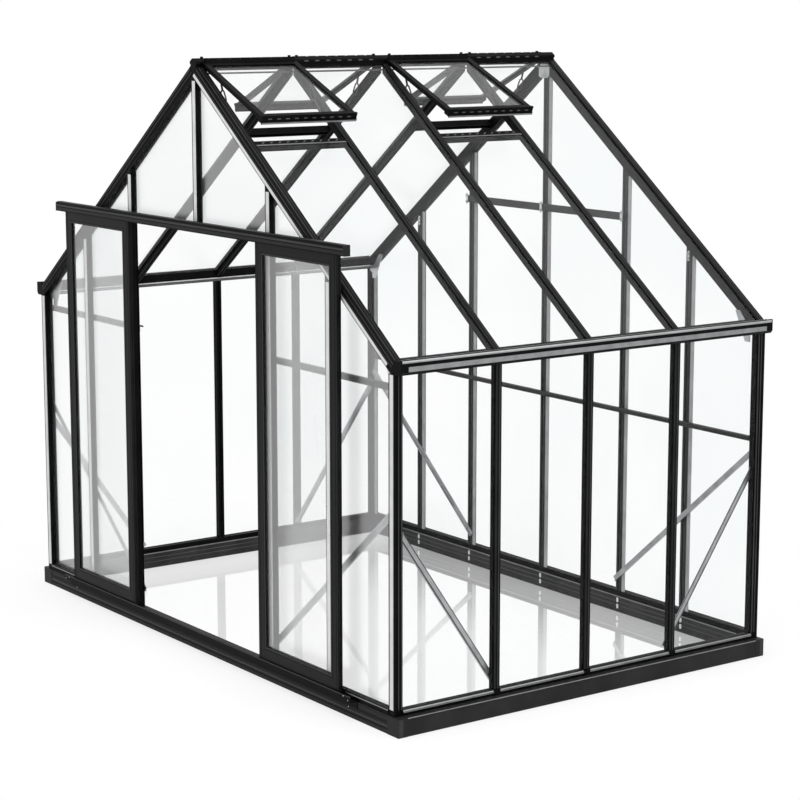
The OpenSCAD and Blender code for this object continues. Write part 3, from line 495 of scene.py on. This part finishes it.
for name, side in (("right", 1), ("left", -1)):
    outer_x, inner_x = side * GUTTER_X, side * (WALL_X - BAR_DEPTH)
    outwards, inwards = (side, 0, 0), (-side, 0, 0)
    # The gutter bead and the eave lip are painted highlights.
    for piece, profile, x, z, ends, across, out, finish, material_slot in (
            ("_gutter_bead_highlight", bead_arc, outer_x, bead_z, bead_ends, outwards, UP, lip_highlight_alloy, "bare_fittings"),
            ("_gutter_fascia", fascia_outline, outer_x, fascia_z, fascia_ends, UP, outwards, fascia_alloy,
             "brace_alloy"),
            ("_eave_trim", trim_outline, inner_x, BEAM_LOW + 0.002, trim_ends, UP, inwards, mid_coat,
             "black_frame"),
            ("_eave_lip_highlight", lip_outline, inner_x, BEAM_LOW + 0.016, trim_ends, UP, inwards, painted_highlight_finish, "glazing")):
        mesh = bmesh.new()
        sweep(mesh, profile, (x, ends[0], z), (x, ends[1], z), across, out)
        make_piece(name + piece, mesh, finish)

# %% [markdown]
# ## Ribs on the outer faces
# The die draws a few raised ribs on every profile, so that the faces stay straight and scratches
# don't show. They are drawn in lighter greys: painted highlights on the ribs and a painted sheen on
# the wider lands, so they read as thin lighter lines on the black. Each wall bar has one rib and a
# wider land beside it, each rafter the same, a corner post has two ribs on its wall side, and a gable
# rafter has a rib and a land on its back and again on its face. Bump could draw them, but only a
# raised strip has an edge that catches light from every side.

# %% Ribs
def strip(mesh, start, end, across, out, width, height=0.0008, offset=0.0):
    """A flat strip on a face: across is the face's width direction, out is its normal."""
    sweep(mesh, strip_outline(width, height, offset), start, end, across, out)


RIB, LAND = 0.006, 0.011
ribs, lands = bmesh.new(), bmesh.new()
rafter_foot, rafter_head = WALL_X - 0.004, 0.034
for side in (-1, 1):
    outwards, slope_out = (side, 0, 0), (side * math.sin(PITCH), 0, math.cos(PITCH))
    for y in WALL_LINES + [FRONT_Y, REAR_Y]:
        upright = [(side * WALL_X, y, z) for z in (SILL_TOP + 0.002, BEAM_LOW - 0.002)]
        slope = [(side * x, y, roof_z(x)) for x in (rafter_foot, rafter_head)]
        inward = -1 if y == REAR_Y else 1
        along, gable_out = (0, inward, 0), (0, -inward, 0)
        marks = ((ribs, upright, along, outwards, 0.0056, 0.0228), (ribs, upright, along, outwards, 0.0080, 0.0398),
                 (ribs, slope, along, slope_out, RIB, 0.014), (lands, slope, along, slope_out, LAND, 0.030),
                 (ribs, slope, slope_out, gable_out, 0.005, -0.011),
                 (lands, slope, slope_out, gable_out, 0.009, -0.0285))
        if y in WALL_LINES:
            marks = ((ribs, upright, along, outwards, RIB, side * 0.0075),
                     (lands, upright, along, outwards, LAND, side * -0.0105),
                     (ribs, slope, along, slope_out, RIB, 0.0075), (lands, slope, along, slope_out, LAND, -0.0095))
        for mesh, (start, end), across, out, width, offset in marks:
            strip(mesh, start, end, across, out, width, offset=offset)
# The ribs are painted highlights and the lands a painted sheen.
make_piece("bar_rib_highlights", ribs, rib_highlight_coat)
make_piece("bar_land_sheen", lands, sheen_band_coat)

# %% [markdown]
# ## Roof sheet beads
# From inside, the left slope shows a grey painted bead along one side of each rafter, where the
# sheet's edge is sealed. It runs from the eave to the ridge, and under a vent it ends at the sill.

# %% Roof beads
roof_bead = [(0.0, 0.0), (0.018, 0.0), (0.018, 0.002), (0.0, 0.004)]
inner_out = Vector((math.sin(PITCH), 0, -math.cos(PITCH)))
vent_foot_x = 0.655 * math.cos(PITCH)
roof_beads = bmesh.new()
for y, low_x, high_x in zip(WALL_LINES, [WALL_X - 0.040] * 3, (0.036, vent_foot_x, 0.036)):
    edge = y - BAR / 2 - GAP
    low, high = (Vector((-x, edge, roof_z(x))) + inner_out * 0.0094 for x in (low_x, high_x))
    sweep(roof_beads, roof_bead, low, high, TO_FRONT, inner_out)
make_piece("roof_sheet_beads", roof_beads, mid_coat)

# %% [markdown]
# ## Trims on the wall sills
# The sill under each wall sheet has a grey rain strip on its slope, a grey face at its drip edge and
# a thin rubber gasket where the sheet goes in. The trims are cut between the bars, and each bar's
# foot runs down over the sill. They are drawn bay by bay, so that no trim crosses a bar.

# %% Wall sill trims
SLOPE_OUT, SLOPE_UP = 0.514, 0.857  # sine and cosine of 31 degrees, the slope's angle to the wall
RAIN_OUT, RAIN_DROP = 0.0033, 0.0055  # the rain strip's middle, out from the wall and under the sill's top
wall_y0, wall_y1 = FRONT_Y + POST + 0.001, REAR_Y - POST - 0.001
bay_edges = [wall_y0] + [y + shift for y in WALL_LINES for shift in (-BAR / 2 - 0.001, BAR / 2 + 0.001)] + [wall_y1]
bar_foot = [(0.0, 0.0), (0.0085, 0.0), (0.0085, -0.024), (0.006, -0.0262), (0.0, -0.0262)]
wall_gasket = [(0.0, 0.0), (0.0035, 0.0), (0.0020, 0.0024), (0.0, 0.0026)]
rain, drip_faces, gaskets, bar_feet = (bmesh.new() for _ in range(4))
for side in (-1, 1):
    outwards, inwards = (side, 0, 0), (-side, 0, 0)
    down_slope, off_slope = (side * SLOPE_OUT, 0, -SLOPE_UP), (side * SLOPE_UP, 0, SLOPE_OUT)
    for y0, y1 in zip(bay_edges[0::2], bay_edges[1::2]):
        for mesh, out, drop, across, normal, width in (
                (rain, RAIN_OUT, RAIN_DROP, down_slope, off_slope, 0.0072),
                (drip_faces, 0.006, 0.012, UP, outwards, 0.0048)):
            x, z = side * (WALL_X + out), SILL_TOP - drop
            strip(mesh, (x, y0, z), (x, y1, z), across, normal, width)
        sweep(gaskets, wall_gasket, (side * WALL_X, y0, SILL_TOP), (side * WALL_X, y1, SILL_TOP), inwards, UP)
    for y in WALL_LINES:
        x, z = side * WALL_X, SILL_TOP + GAP
        sweep(bar_feet, bar_foot, (x, y - BAR / 2, z), (x, y + BAR / 2, z), outwards, UP)
make_piece("wall_bar_feet", bar_feet, black_coat)

# %% [markdown]
# ## Trims on the gable sills
# The gables' sills have the same rain strip, a little slimmer, and a taller gasket, because their
# sheets lie deeper. On the front gable both stop at the door jambs, as the doorway has no sill.

# %% Gable sill trims
gable_gasket = [(0.0, 0.0), (0.0035, 0.0), (0.0020, 0.0042), (0.0, 0.0045)]
gable_x, jamb_side = WALL_X - POST - 0.001, JAMB_X + BAR / 2 + 0.001
for y, inward, spans in ((FRONT_Y, 1, ((-gable_x, -jamb_side), (jamb_side, gable_x))),
                         (REAR_Y, -1, ((-gable_x, gable_x),))):
    down_slope, off_slope = (0, -inward * SLOPE_OUT, -SLOPE_UP), (0, -inward * SLOPE_UP, SLOPE_OUT)
    for x0, x1 in spans:
        face, z = y - inward * RAIN_OUT, SILL_TOP - RAIN_DROP
        strip(rain, (x0, face, z), (x1, face, z), down_slope, off_slope, 0.0050)
        sweep(gaskets, gable_gasket, (x0, y, SILL_TOP), (x1, y, SILL_TOP), (0, inward, 0), UP)
make_piece("sill_rain_strips", rain, fascia_alloy)
make_piece("sill_drip_faces", drip_faces, fascia_alloy)
make_piece("sill_gaskets", gaskets, gasket_rubber)

# %% [markdown]
# ## Lines on the base
# The base is a wide extrusion with corner pieces. Outside, a grey line along its top edge on the long
# sides is a painted highlight, and so is the lighter land on each corner piece. Inside, the joint
# between base and sill shows as one light line, with two painted ribs below it.

# %% Base lines
WALL_BASE_IN, GABLE_BASE_IN = 0.0402, 0.0403  # how far inside the wall lines the base's inner faces lie
BASE_SIDE_OUT, ARRIS_Z, ARRIS_WIDTH = 0.040, 0.0853, 0.0048
JOINT_Z, JOINT_WIDTH, RIB_WIDTH = 0.0865, 0.0055, 0.0030
arris, joints, inner_ribs = (bmesh.new() for _ in range(3))
inner_lines = ((joints, JOINT_Z, JOINT_WIDTH), (inner_ribs, 0.060, RIB_WIDTH), (inner_ribs, 0.036, RIB_WIDTH))
for side in (-1, 1):
    x = side * (WALL_X + BASE_SIDE_OUT)
    strip(arris, (x, wall_y0, ARRIS_Z), (x, wall_y1, ARRIS_Z), UP, (side, 0, 0), ARRIS_WIDTH)
    x = side * (WALL_X - WALL_BASE_IN)
    for mesh, z, width in inner_lines:
        strip(mesh, (x, wall_y0, z), (x, wall_y1, z), UP, (-side, 0, 0), width)
for y, inward in ((FRONT_Y, 1), (REAR_Y, -1)):
    face, reach = y + inward * GABLE_BASE_IN, gable_x - 0.003
    for mesh, z, width in inner_lines:
        strip(mesh, (-reach, face, z), (reach, face, z), UP, (0, inward, 0), width)
# A painted highlight along the base's top edge.
make_piece("base_arris_highlight", arris, fascia_alloy)
make_piece("base_joint_lines", joints, fascia_alloy)
make_piece("base_inner_ribs", inner_ribs, mid_coat)
corner_low, corner_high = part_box("base_corners")
corners = bmesh.new()
for x, outward in ((-corner_high.x, -1), (corner_high.x, 1)):
    for y, inward in ((corner_low.y, 1), (corner_high.y, -1)):
        strip(corners, (x, y, 0.002), (x, y, 0.086), (0, inward, 0), (outward, 0, 0), 0.024, offset=0.0145)
# The lighter corner lands are painted highlights.
make_piece("base_corner_highlights", corners, rib_highlight_coat)

# %% [markdown]
# ## Directions on the roof and on an open vent
# A vent hangs from the ridge and stands open by 12.5 degrees. Trims are placed on it by its own
# directions: down the slope and off the roof. A turned parent object could carry them, but plain
# vectors keep each mesh in the house's own frame.

# %% Vent directions
VENT_LENGTH, VENT_OPEN, VENT_LAP, VENT_RISE = 0.590, math.radians(12.5), 0.012, 0.002
END_MARGINS = 0.060  # what a row of slots or tabs leaves free at its two ends together
VENT_HINGE = (0.0301 - VENT_RISE * math.sin(PITCH)) / math.cos(PITCH)


def slope_frame(side, y, swung):
    """Origin at the ridge and directions down the slope and off the roof, or those of an open vent."""
    down = Vector((side * math.cos(PITCH), 0, -math.sin(PITCH)))
    off = Vector((side * math.sin(PITCH), 0, math.cos(PITCH)))
    origin = Vector((0, y, APEX_Z))
    if swung:
        origin = origin + down * VENT_HINGE + off * VENT_RISE
        angle = PITCH - VENT_OPEN
        down = Vector((side * math.cos(angle), 0, -math.sin(angle)))
        off = Vector((side * math.sin(angle), 0, math.cos(angle)))
    return origin, down, off


def vent_bays():
    """Side of the vent and clear ends of each bay: the right slope has bays 1 and 3, the left 2 and 4."""
    lines = [FRONT_Y + POST] + WALL_LINES + [REAR_Y - POST]
    for bay_index in range(4):
        low = lines[bay_index] + (BAR / 2 if bay_index else 0.0)
        high = lines[bay_index + 1] - (BAR / 2 if bay_index < 3 else 0.0)
        yield (1 if bay_index in (0, 2) else -1), low, high


def spaced(length, pitch):
    """Centres of as many marks as fit in a length at a pitch, spread evenly about its middle."""
    count = int(length / pitch)
    return [(k - count / 2) * pitch for k in range(count + 1)]


print("clear bay widths in metres:", [round(high - low, 3) for _, low, high in vent_bays()])

# %% [markdown]
# ## Trims on the vents
# Each vent's low rail has punched slots and a drip lip of bare metal. The vent sill below it carries
# short tabs that hold the sheet, and a metal edge. The slots are cut in the CAD solid: here each gets
# a small grey strip, painted light that stands in for the slot's lit inner edge, so that it reads as a
# slot and not as a black hole.

# %% Vent trims
SLOT_PITCH, TAB_PITCH = 0.050, 0.047
slot_painted_light, drip_lips, sill_tabs, sill_edges = (bmesh.new() for _ in range(4))
for side, low, high in vent_bays():
    middle, clear = (low + high) / 2, high - low
    origin, down, off = slope_frame(side, middle, True)
    width = clear + 2 * VENT_LAP
    for centre in spaced(width - END_MARGINS, SLOT_PITCH):
        slot = origin + down * VENT_LENGTH + off * 0.011 + Vector((0, centre, 0))
        strip(slot_painted_light, slot + Vector((0, -0.010, 0)), slot + Vector((0, 0.010, 0)), off, down, 0.0055)
    lip, half = origin + down * (VENT_LENGTH + 0.005) + off * -0.0095, Vector((0, width / 2 - 0.001, 0))
    strip(drip_lips, lip - half, lip + half, off, down, 0.0086)
    origin, down, off = slope_frame(side, middle, False)
    sill = origin + down * (VENT_HINGE + VENT_LENGTH - 0.028) + off * -0.003
    for centre in spaced(clear - END_MARGINS, TAB_PITCH):
        tab, slant = sill + down * 0.013 + Vector((0, centre, 0)), Vector((0, 0.008, 0)) - down * 0.005
        strip(sill_tabs, tab - slant, tab + slant, down, off, 0.0045)
    edge, half = sill + down * 0.0298, Vector((0, clear / 2 - 0.002, 0))
    strip(sill_edges, edge - half, edge + half, down, off, 0.0075)
# The grey strips are painted light in the slots.
make_piece("vent_slot_painted_light", slot_painted_light, mid_coat)
make_piece("vent_drip_lips", drip_lips, fascia_alloy)
make_piece("vent_sill_tabs", sill_tabs, fascia_alloy)
make_piece("vent_sill_edges", sill_edges, fascia_alloy)

# %% [markdown]
# ## Trims on the ridge
# The ridge has slots in its crown where a bay has no vent on that side, and each gets the same grey
# strip of painted light. A thin rod runs under the ridge on each side, from gable to gable, and keeps
# the vents from lifting out. A curve with a bevel could make it, but a swept circle needs no new
# helper.

# %% Ridge trims
RIDGE_HALF, CROWN_SLOT_PITCH = 0.030, 0.066
ROD_RADIUS, ROD_Z = 0.0035, 2.913
crown_z = roof_z(RIDGE_HALF) + 0.0215
crown_slot_light, rods = bmesh.new(), bmesh.new()
for vent_side, low, high in vent_bays():
    x = -vent_side * RIDGE_HALF
    for k in range(int((high - low - END_MARGINS) / CROWN_SLOT_PITCH) + 1):
        start = low + 0.031 + k * CROWN_SLOT_PITCH
        strip(crown_slot_light, (x, start, crown_z), (x, start + 0.024, crown_z), UP, (-vent_side, 0, 0), 0.006)
# The grey strips are painted light in the ridge's slots.
make_piece("ridge_slot_painted_light", crown_slot_light, mid_coat)
for x in (-RIDGE_HALF, RIDGE_HALF):
    sweep(rods, round_outline(ROD_RADIUS, 10), (x, FRONT_Y + 0.030, ROD_Z), (x, REAR_Y - 0.030, ROD_Z),
          TO_RIGHT, UP)
make_piece("ridge_rods", rods, mid_coat)

# %% [markdown]
# ## Painted shadow on the braces
# Each brace on the side walls is an angle, with its lower edge bent inwards. Along the bend and the
# upper edge, two thin dark grey lines on the pale face are painted shadow. The CAD node has one
# finish, so the lines are strips of their own.

# %% Brace edges
BRACE_FOOT_Z, BRACE_HEAD_Z, END_GAP = 0.161, 0.938, 0.030
brace_painted_shade = bmesh.new()
for side in (-1, 1):
    for end in (-1, 1):
        x = side * (WALL_X - BAR_DEPTH)
        near = Vector((x, MIDDLE_Y + end * BAY, BRACE_FOOT_Z))
        far = Vector((x, MIDDLE_Y + end * (REAR_Y - MIDDLE_Y - POST), BRACE_HEAD_Z))
        along = (far - near).normalized()
        across = Vector((0, -along.z * end, abs(along.y)))
        start = near + along * (END_GAP / abs(along.y))
        stop = far - along * END_GAP
        for shift, width in ((-0.0112, 0.0055), (0.0126, 0.0040)):
            strip(brace_painted_shade, start + across * shift, stop + across * shift, across, (side, 0, 0), width)
# The dark lines are painted shadow on the braces.
make_piece("brace_painted_shade", brace_painted_shade, rail_coat)

# %% [markdown]
# ## Header and track lines
# The header that the doors hang from is one extrusion with a black crown, a raised rib, two grooves
# and a plain band between them. The bottom track has a rib and a groove, and the base below it a
# rib between two grooves. They are drawn as thin strips: the dark ones are painted shade, in the
# grooves, on the crown and under the header's lip, and the light ones are painted highlights on the
# ribs. They give the long horizontal lines that make the front look rolled and not cast. Three small
# screws hold each end of the track and the base.

# %% Header and track lines
header_low, header_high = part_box("door_header")
track_low, track_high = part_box("door_bottom_track")
plinth_low, plinth_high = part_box("front_base")
painted_shade_lines, painted_highlight_lines = bmesh.new(), bmesh.new()
for low, high, lines in (
        (header_low, header_high, ((header_high.z - 0.0080, 0.0130, painted_shade_lines),
                                   (header_high.z - 0.0200, 0.0090, painted_highlight_lines),
                                   (header_high.z - 0.0275, 0.0045, painted_shade_lines),
                                   (header_high.z - 0.0475, 0.0050, painted_shade_lines))),
        (track_low, track_high, ((track_high.z - 0.0035, 0.0050, painted_highlight_lines),
                                 (track_high.z - 0.0100, 0.0050, painted_shade_lines))),
        (plinth_low, plinth_high, ((0.052, 0.004, painted_shade_lines), (0.036, 0.010, painted_highlight_lines),
                                   (0.024, 0.004, painted_shade_lines)))):
    for z, width, mesh in lines:
        strip(mesh, (low.x + 0.004, low.y + GAP, z), (high.x - 0.004, low.y + GAP, z), UP, TO_FRONT, width, 0.0006)
screws = bmesh.new()
for side in (-1, 1):
    for x, y, z in ((1.350, track_low.y, 0.112), (1.388, track_low.y, 0.100), (1.334, plinth_low.y, 0.050)):
        sweep(screws, round_outline(0.0026, 8), (side * x, y, z), (side * x, y - 0.003, z), TO_RIGHT, UP)
make_piece("track_screws", screws, bright_alloy)
# Dark lines are painted shade and light lines painted highlights.
make_piece("front_groove_lines", painted_shade_lines, black_coat)
make_piece("front_line_highlights", painted_highlight_lines, rib_highlight_coat)

# %% [markdown]
# ## Door leaf seals
# Each leaf holds its sheet in a black rubber gasket all round. The stiles have a groove near each
# edge, and dark lines there and round the leaf's outline are painted shade. These pieces ride on the
# leaves, so they slide with them.

# %% Door leaf seals
STILE, TOP_RAIL, FOOT_RAIL, SEAL, GROOVE = 0.064, 0.064, 0.073, 0.010, 0.003
for name in ("left_door", "right_door"):
    leaf_low, leaf_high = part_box(name + "_frame")
    seal, groove = bmesh.new(), bmesh.new()
    face = leaf_low.y - 0.0001
    x0, x1 = leaf_low.x + STILE - SEAL / 2, leaf_high.x - STILE + SEAL / 2
    z0, z1 = leaf_low.z + FOOT_RAIL - SEAL / 2, leaf_high.z - TOP_RAIL + SEAL / 2
    for x in (x0, x1):
        strip(seal, (x, face, z0 - SEAL / 2), (x, face, z1 + SEAL / 2), TO_RIGHT, TO_FRONT, SEAL, 0.001)
    for z in (z0, z1):
        strip(seal, (x0 + SEAL / 2, face, z), (x1 - SEAL / 2, face, z), UP, TO_FRONT, SEAL, 0.001)
    foot, head = leaf_low.z + 0.002, leaf_high.z - 0.002
    for x in (leaf_low.x + 0.0015, leaf_low.x + 0.018, leaf_high.x - 0.018, leaf_high.x - 0.0015):
        strip(groove, (x, face, foot), (x, face, head), TO_RIGHT, TO_FRONT, GROOVE, 0.0005)
    for z in (leaf_low.z + 0.0015, leaf_high.z - 0.0015):
        strip(groove, (leaf_low.x + 0.004, face, z), (leaf_high.x - 0.004, face, z), UP, TO_FRONT, GROOVE, 0.0005)
    make_piece(name + "_gasket", seal, gasket_rubber, body=name)
    # The dark lines on each leaf are painted shade.
    make_piece(name + "_groove_lines", groove, black_coat, body=name)

# %% [markdown]
# ## Cleats and bolts
# Bright pressed cleats hold the rear studs: two lie on the base under each stud, and a longer one
# with two bolts joins each outer stud to its rafter. Three more hold the crossbar, whose face has a
# wider cap. A cleat is a plate with its corners cut, and a bolt head is a swept hexagon.

# %% Cleats and bolts
CLEAT_CORNERS = ((0.5, -0.38), (0.5, 0.38), (0.30, 0.5), (-0.30, 0.5), (-0.5, 0.38), (-0.5, -0.38), (-0.30, -0.5),
                 (0.30, -0.5))
CLEAT_THICK, BOLT_RADIUS, BOLT_HEIGHT = 0.003, 0.0065, 0.005
FACING_IN = Vector(TO_FRONT)
cleats, bolts, cap = (bmesh.new() for _ in range(3))


def cleat(x, y, z, width, height):
    """A small plate with cut corners, upright on a face that looks to the front."""
    centre, outline = Vector((x, y, z)), [(a * width, b * height) for a, b in CLEAT_CORNERS]
    sweep(cleats, outline, centre, centre + FACING_IN * CLEAT_THICK, TO_RIGHT, UP)


def bolt_head(x, y, z):
    centre, across = Vector((x, y, z)), FACING_IN.orthogonal().normalized()
    sweep(bolts, round_outline(BOLT_RADIUS, 6), centre, centre + FACING_IN * BOLT_HEIGHT,
          across, FACING_IN.cross(across))


base_face, stud_face = REAR_Y - GABLE_BASE_IN, REAR_Y - BAR_DEPTH - GAP
for x in STUD_LINES:
    for z in (0.067, 0.032):
        cleat(x + 0.006, base_face, z, 0.014, 0.024)
    if abs(x) == STUD_X:
        top = roof_z(x, END_RAFTER) - 0.030
        cleat(x, stud_face, top - 0.012, 0.014, 0.052)
        for z in (top, top - 0.024):
            bolt_head(x, stud_face - CLEAT_THICK, z)
rail_low, rail_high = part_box("rear_crossbar")
cap_z = rail_high.z - 0.018
strip(cap, (rail_low.x, rail_low.y, cap_z), (rail_high.x, rail_low.y, cap_z), UP, FACING_IN, 0.040, 0.002)
make_piece("crossbar_cap", cap, rail_coat)
for x in (rail_low.x + 0.012, 0.0, rail_high.x - 0.012):
    cleat(x, rail_low.y - 0.0022, rail_high.z - 0.016, 0.018, 0.060)
    for lift in (0.002, -0.034):
        bolt_head(x, rail_low.y - 0.0052, rail_high.z + lift)
make_piece("stud_cleats", cleats, bright_alloy)
make_piece("stud_bolts", bolts, zinc_steel)

# %% [markdown]
# ## The floor's finish
# The house stands on open ground, so the scene gives it a plain white floor, which takes the soft
# shadow of the frame. Inside the house it is polished a little, less towards the door and the left
# wall, so the base shows in it as on smooth paving. Outside it fades to the plain white of the
# backdrop. A glossy floor would mirror everywhere, so the shares follow the place on the floor.

# %% Floor finish
def pale_floor():
    material, tree, out = finish_named("pale_studio_floor")
    place = add(tree, "NewGeometry")
    axes = add(tree, "SeparateXYZ", {"Vector": place.outputs["Position"]})
    inside = []
    for axis, middle, half in (("X", 0.0, WALL_X), ("Y", MIDDLE_Y, REAR_Y - MIDDLE_Y)):
        off = add(tree, "Math", {0: axes.outputs[axis], 1: middle}, operation="SUBTRACT")
        size = add(tree, "Math", {0: off.outputs["Value"]}, operation="ABSOLUTE")
        within = add(tree, "Math", {0: size.outputs["Value"], 1: half}, operation="LESS_THAN")
        inside.append(within.outputs["Value"])
    polished = add(tree, "Math", {0: inside[0], 1: inside[1]}, operation="MULTIPLY")
    to_rear = add(tree, "MapRange", {"Value": axes.outputs["Y"]}, From_Min=0.2, From_Max=0.85, To_Min=0.5)
    to_right = add(tree, "MapRange", {"Value": axes.outputs["X"]}, From_Min=-1.5, From_Max=-1.1, To_Min=0.55)
    worn = add(tree, "Math", {0: to_rear.outputs["Result"], 1: to_right.outputs["Result"]}, operation="MULTIPLY")
    patch = add(tree, "Math", {0: worn.outputs["Value"], 1: polished.outputs["Value"]}, operation="MULTIPLY")
    angle = add(tree, "Fresnel", IOR=1.45)
    gleam = add(tree, "Math", {0: angle.outputs["Fac"], 1: 2.4}, operation="MULTIPLY", use_clamp=True)
    share = add(tree, "Math", {0: gleam.outputs["Value"], 1: patch.outputs["Value"]}, operation="MULTIPLY")
    reach = add(tree, "VectorMath", {"Vector": place.outputs["Position"]}, operation="LENGTH")
    away = add(tree, "MapRange", {"Value": reach.outputs["Value"]}, From_Min=2.0, From_Max=3.2, To_Min=0.75)
    path = add(tree, "LightPath")
    looked_at = add(tree, "Math", {0: path.outputs["Is Camera Ray"], 1: path.outputs["Is Glossy Ray"]},
                    operation="MAXIMUM")
    faded = add(tree, "Math", {0: away.outputs["Result"], 1: looked_at.outputs["Value"]}, operation="MULTIPLY")
    tone, _ = mottled(tree, "#fbfbfb", "#fdfdfd", size_mm=2500, detail=1.0)
    matt = add(tree, "BsdfDiffuse", {"Color": tone})
    backdrop = add(tree, "Emission", Strength=1.0)
    mirror = add(tree, "BsdfGlossy", Color=(1, 1, 1, 1), Roughness=0.03)
    pale = add(tree, "MixShader", {0: faded.outputs["Value"], 1: matt.outputs["BSDF"],
                                   2: backdrop.outputs["Emission"]})
    surface = add(tree, "MixShader", {0: share.outputs["Value"], 1: pale.outputs["Shader"],
                                      2: mirror.outputs["BSDF"]})
    tree.links.new(surface.outputs["Shader"], out.inputs["Surface"])
    return material


floor_finish = pale_floor()
print("floor finish:", floor_finish.name, "with", len(floor_finish.node_tree.nodes), "nodes")

# %% [markdown]
# ## The floor itself
# One flat square is enough, if its edge lies far outside the view. It is a stage piece and no part of
# the house, so it rides on no body. It lies 2 mm under the base, so that the two don't share a plane.

# %% Floor
floor_mesh = bmesh.new()
bmesh.ops.create_grid(floor_mesh, x_segments=1, y_segments=1, size=60)
floor_data = bpy.data.meshes.new("studio_floor")
floor_mesh.to_mesh(floor_data)
floor_mesh.free()
floor_data.materials.append(floor_finish)
floor = bpy.data.objects.new("studio_floor", floor_data)
floor.location.z = -0.002
bpy.context.scene.collection.objects.link(floor)
print("floor laid", round(-floor.location.z * 1000), "mm under the base")

# %% [markdown]
# ## Light
# A greenhouse is drawn by its edges, so the light is soft and comes from all round: a white world,
# and two large soft lamps that make the top and the right side a little brighter than the left.
# The eye, mirrors and clear sheets see the world as plain white at strength 1. Clear sheets lie
# behind each other many times over, so rays may pass 32 of them before they count as stopped.

# %% World and lamps
world = bpy.data.worlds.new("white_surroundings")
bpy.context.scene.world = world
world.use_nodes = True
sky = world.node_tree
sky.nodes.clear()
path = add(sky, "LightPath")
seen = add(sky, "Math", {0: path.outputs["Is Camera Ray"], 1: path.outputs["Is Glossy Ray"]}, operation="MAXIMUM")
seen_all = add(sky, "Math", {0: seen.outputs["Value"], 1: path.outputs["Is Transmission Ray"]}, operation="MAXIMUM")
strength = add(sky, "MapRange", {"Value": seen_all.outputs["Value"]}, To_Min=0.82, To_Max=1.0)
white = add(sky, "Background", {"Strength": strength.outputs["Result"]}, Color=(1, 1, 1, 1))
sky_out = sky.nodes.new("ShaderNodeOutputWorld")
sky.links.new(white.outputs["Background"], sky_out.inputs["Surface"])
for name, place, target, size, watts in (("top_softbox", (1.5, -2.0, 7.5), (0, 0, 1.0), 5.0, 220),
                                         ("right_softbox", (7.0, 2.5, 3.5), (0, 0, 1.2), 4.0, 90)):
    lamp = bpy.data.lights.new(name, "AREA")
    lamp.shape, lamp.size, lamp.energy = "DISK", size, watts
    lamp_object = bpy.data.objects.new(name, lamp)
    lamp_object.location = place
    lamp_object.rotation_euler = (Vector(target) - Vector(place)).to_track_quat("-Z", "Y").to_euler()
    bpy.context.scene.collection.objects.link(lamp_object)
    print(name, "gives", watts, "W")
bpy.context.scene.view_settings.view_transform = "Standard"
bpy.context.scene.cycles.transparent_max_bounces = 32

# %% [markdown]
# ## Camera
# The camera stands some 12 m off, a little above the ridge, and looks down by ten degrees on the
# corner between the door gable and the right wall, so that both faces and both slopes show. A long
# lens keeps the uprights nearly parallel, as in a catalogue view.

# %% Camera
AZIMUTH, ELEVATION = math.radians(54.3258), math.radians(9.98655)
camera_data = bpy.data.cameras.new("camera")
camera_data.sensor_width, camera_data.lens = 36, 102.765
camera = bpy.data.objects.new("camera", camera_data)
back = Vector((math.sin(AZIMUTH) * math.cos(ELEVATION), -math.cos(AZIMUTH) * math.cos(ELEVATION),
               math.sin(ELEVATION)))
camera.location = (9.7263, -6.8426, 3.2783)
camera.rotation_mode = "QUATERNION"
camera.rotation_quaternion = (-back).to_track_quat("-Z", "Y")
bpy.context.scene.collection.objects.link(camera)
bpy.context.scene.camera = camera
print("camera", round(camera.location.length, 2), "m from the middle of the house")
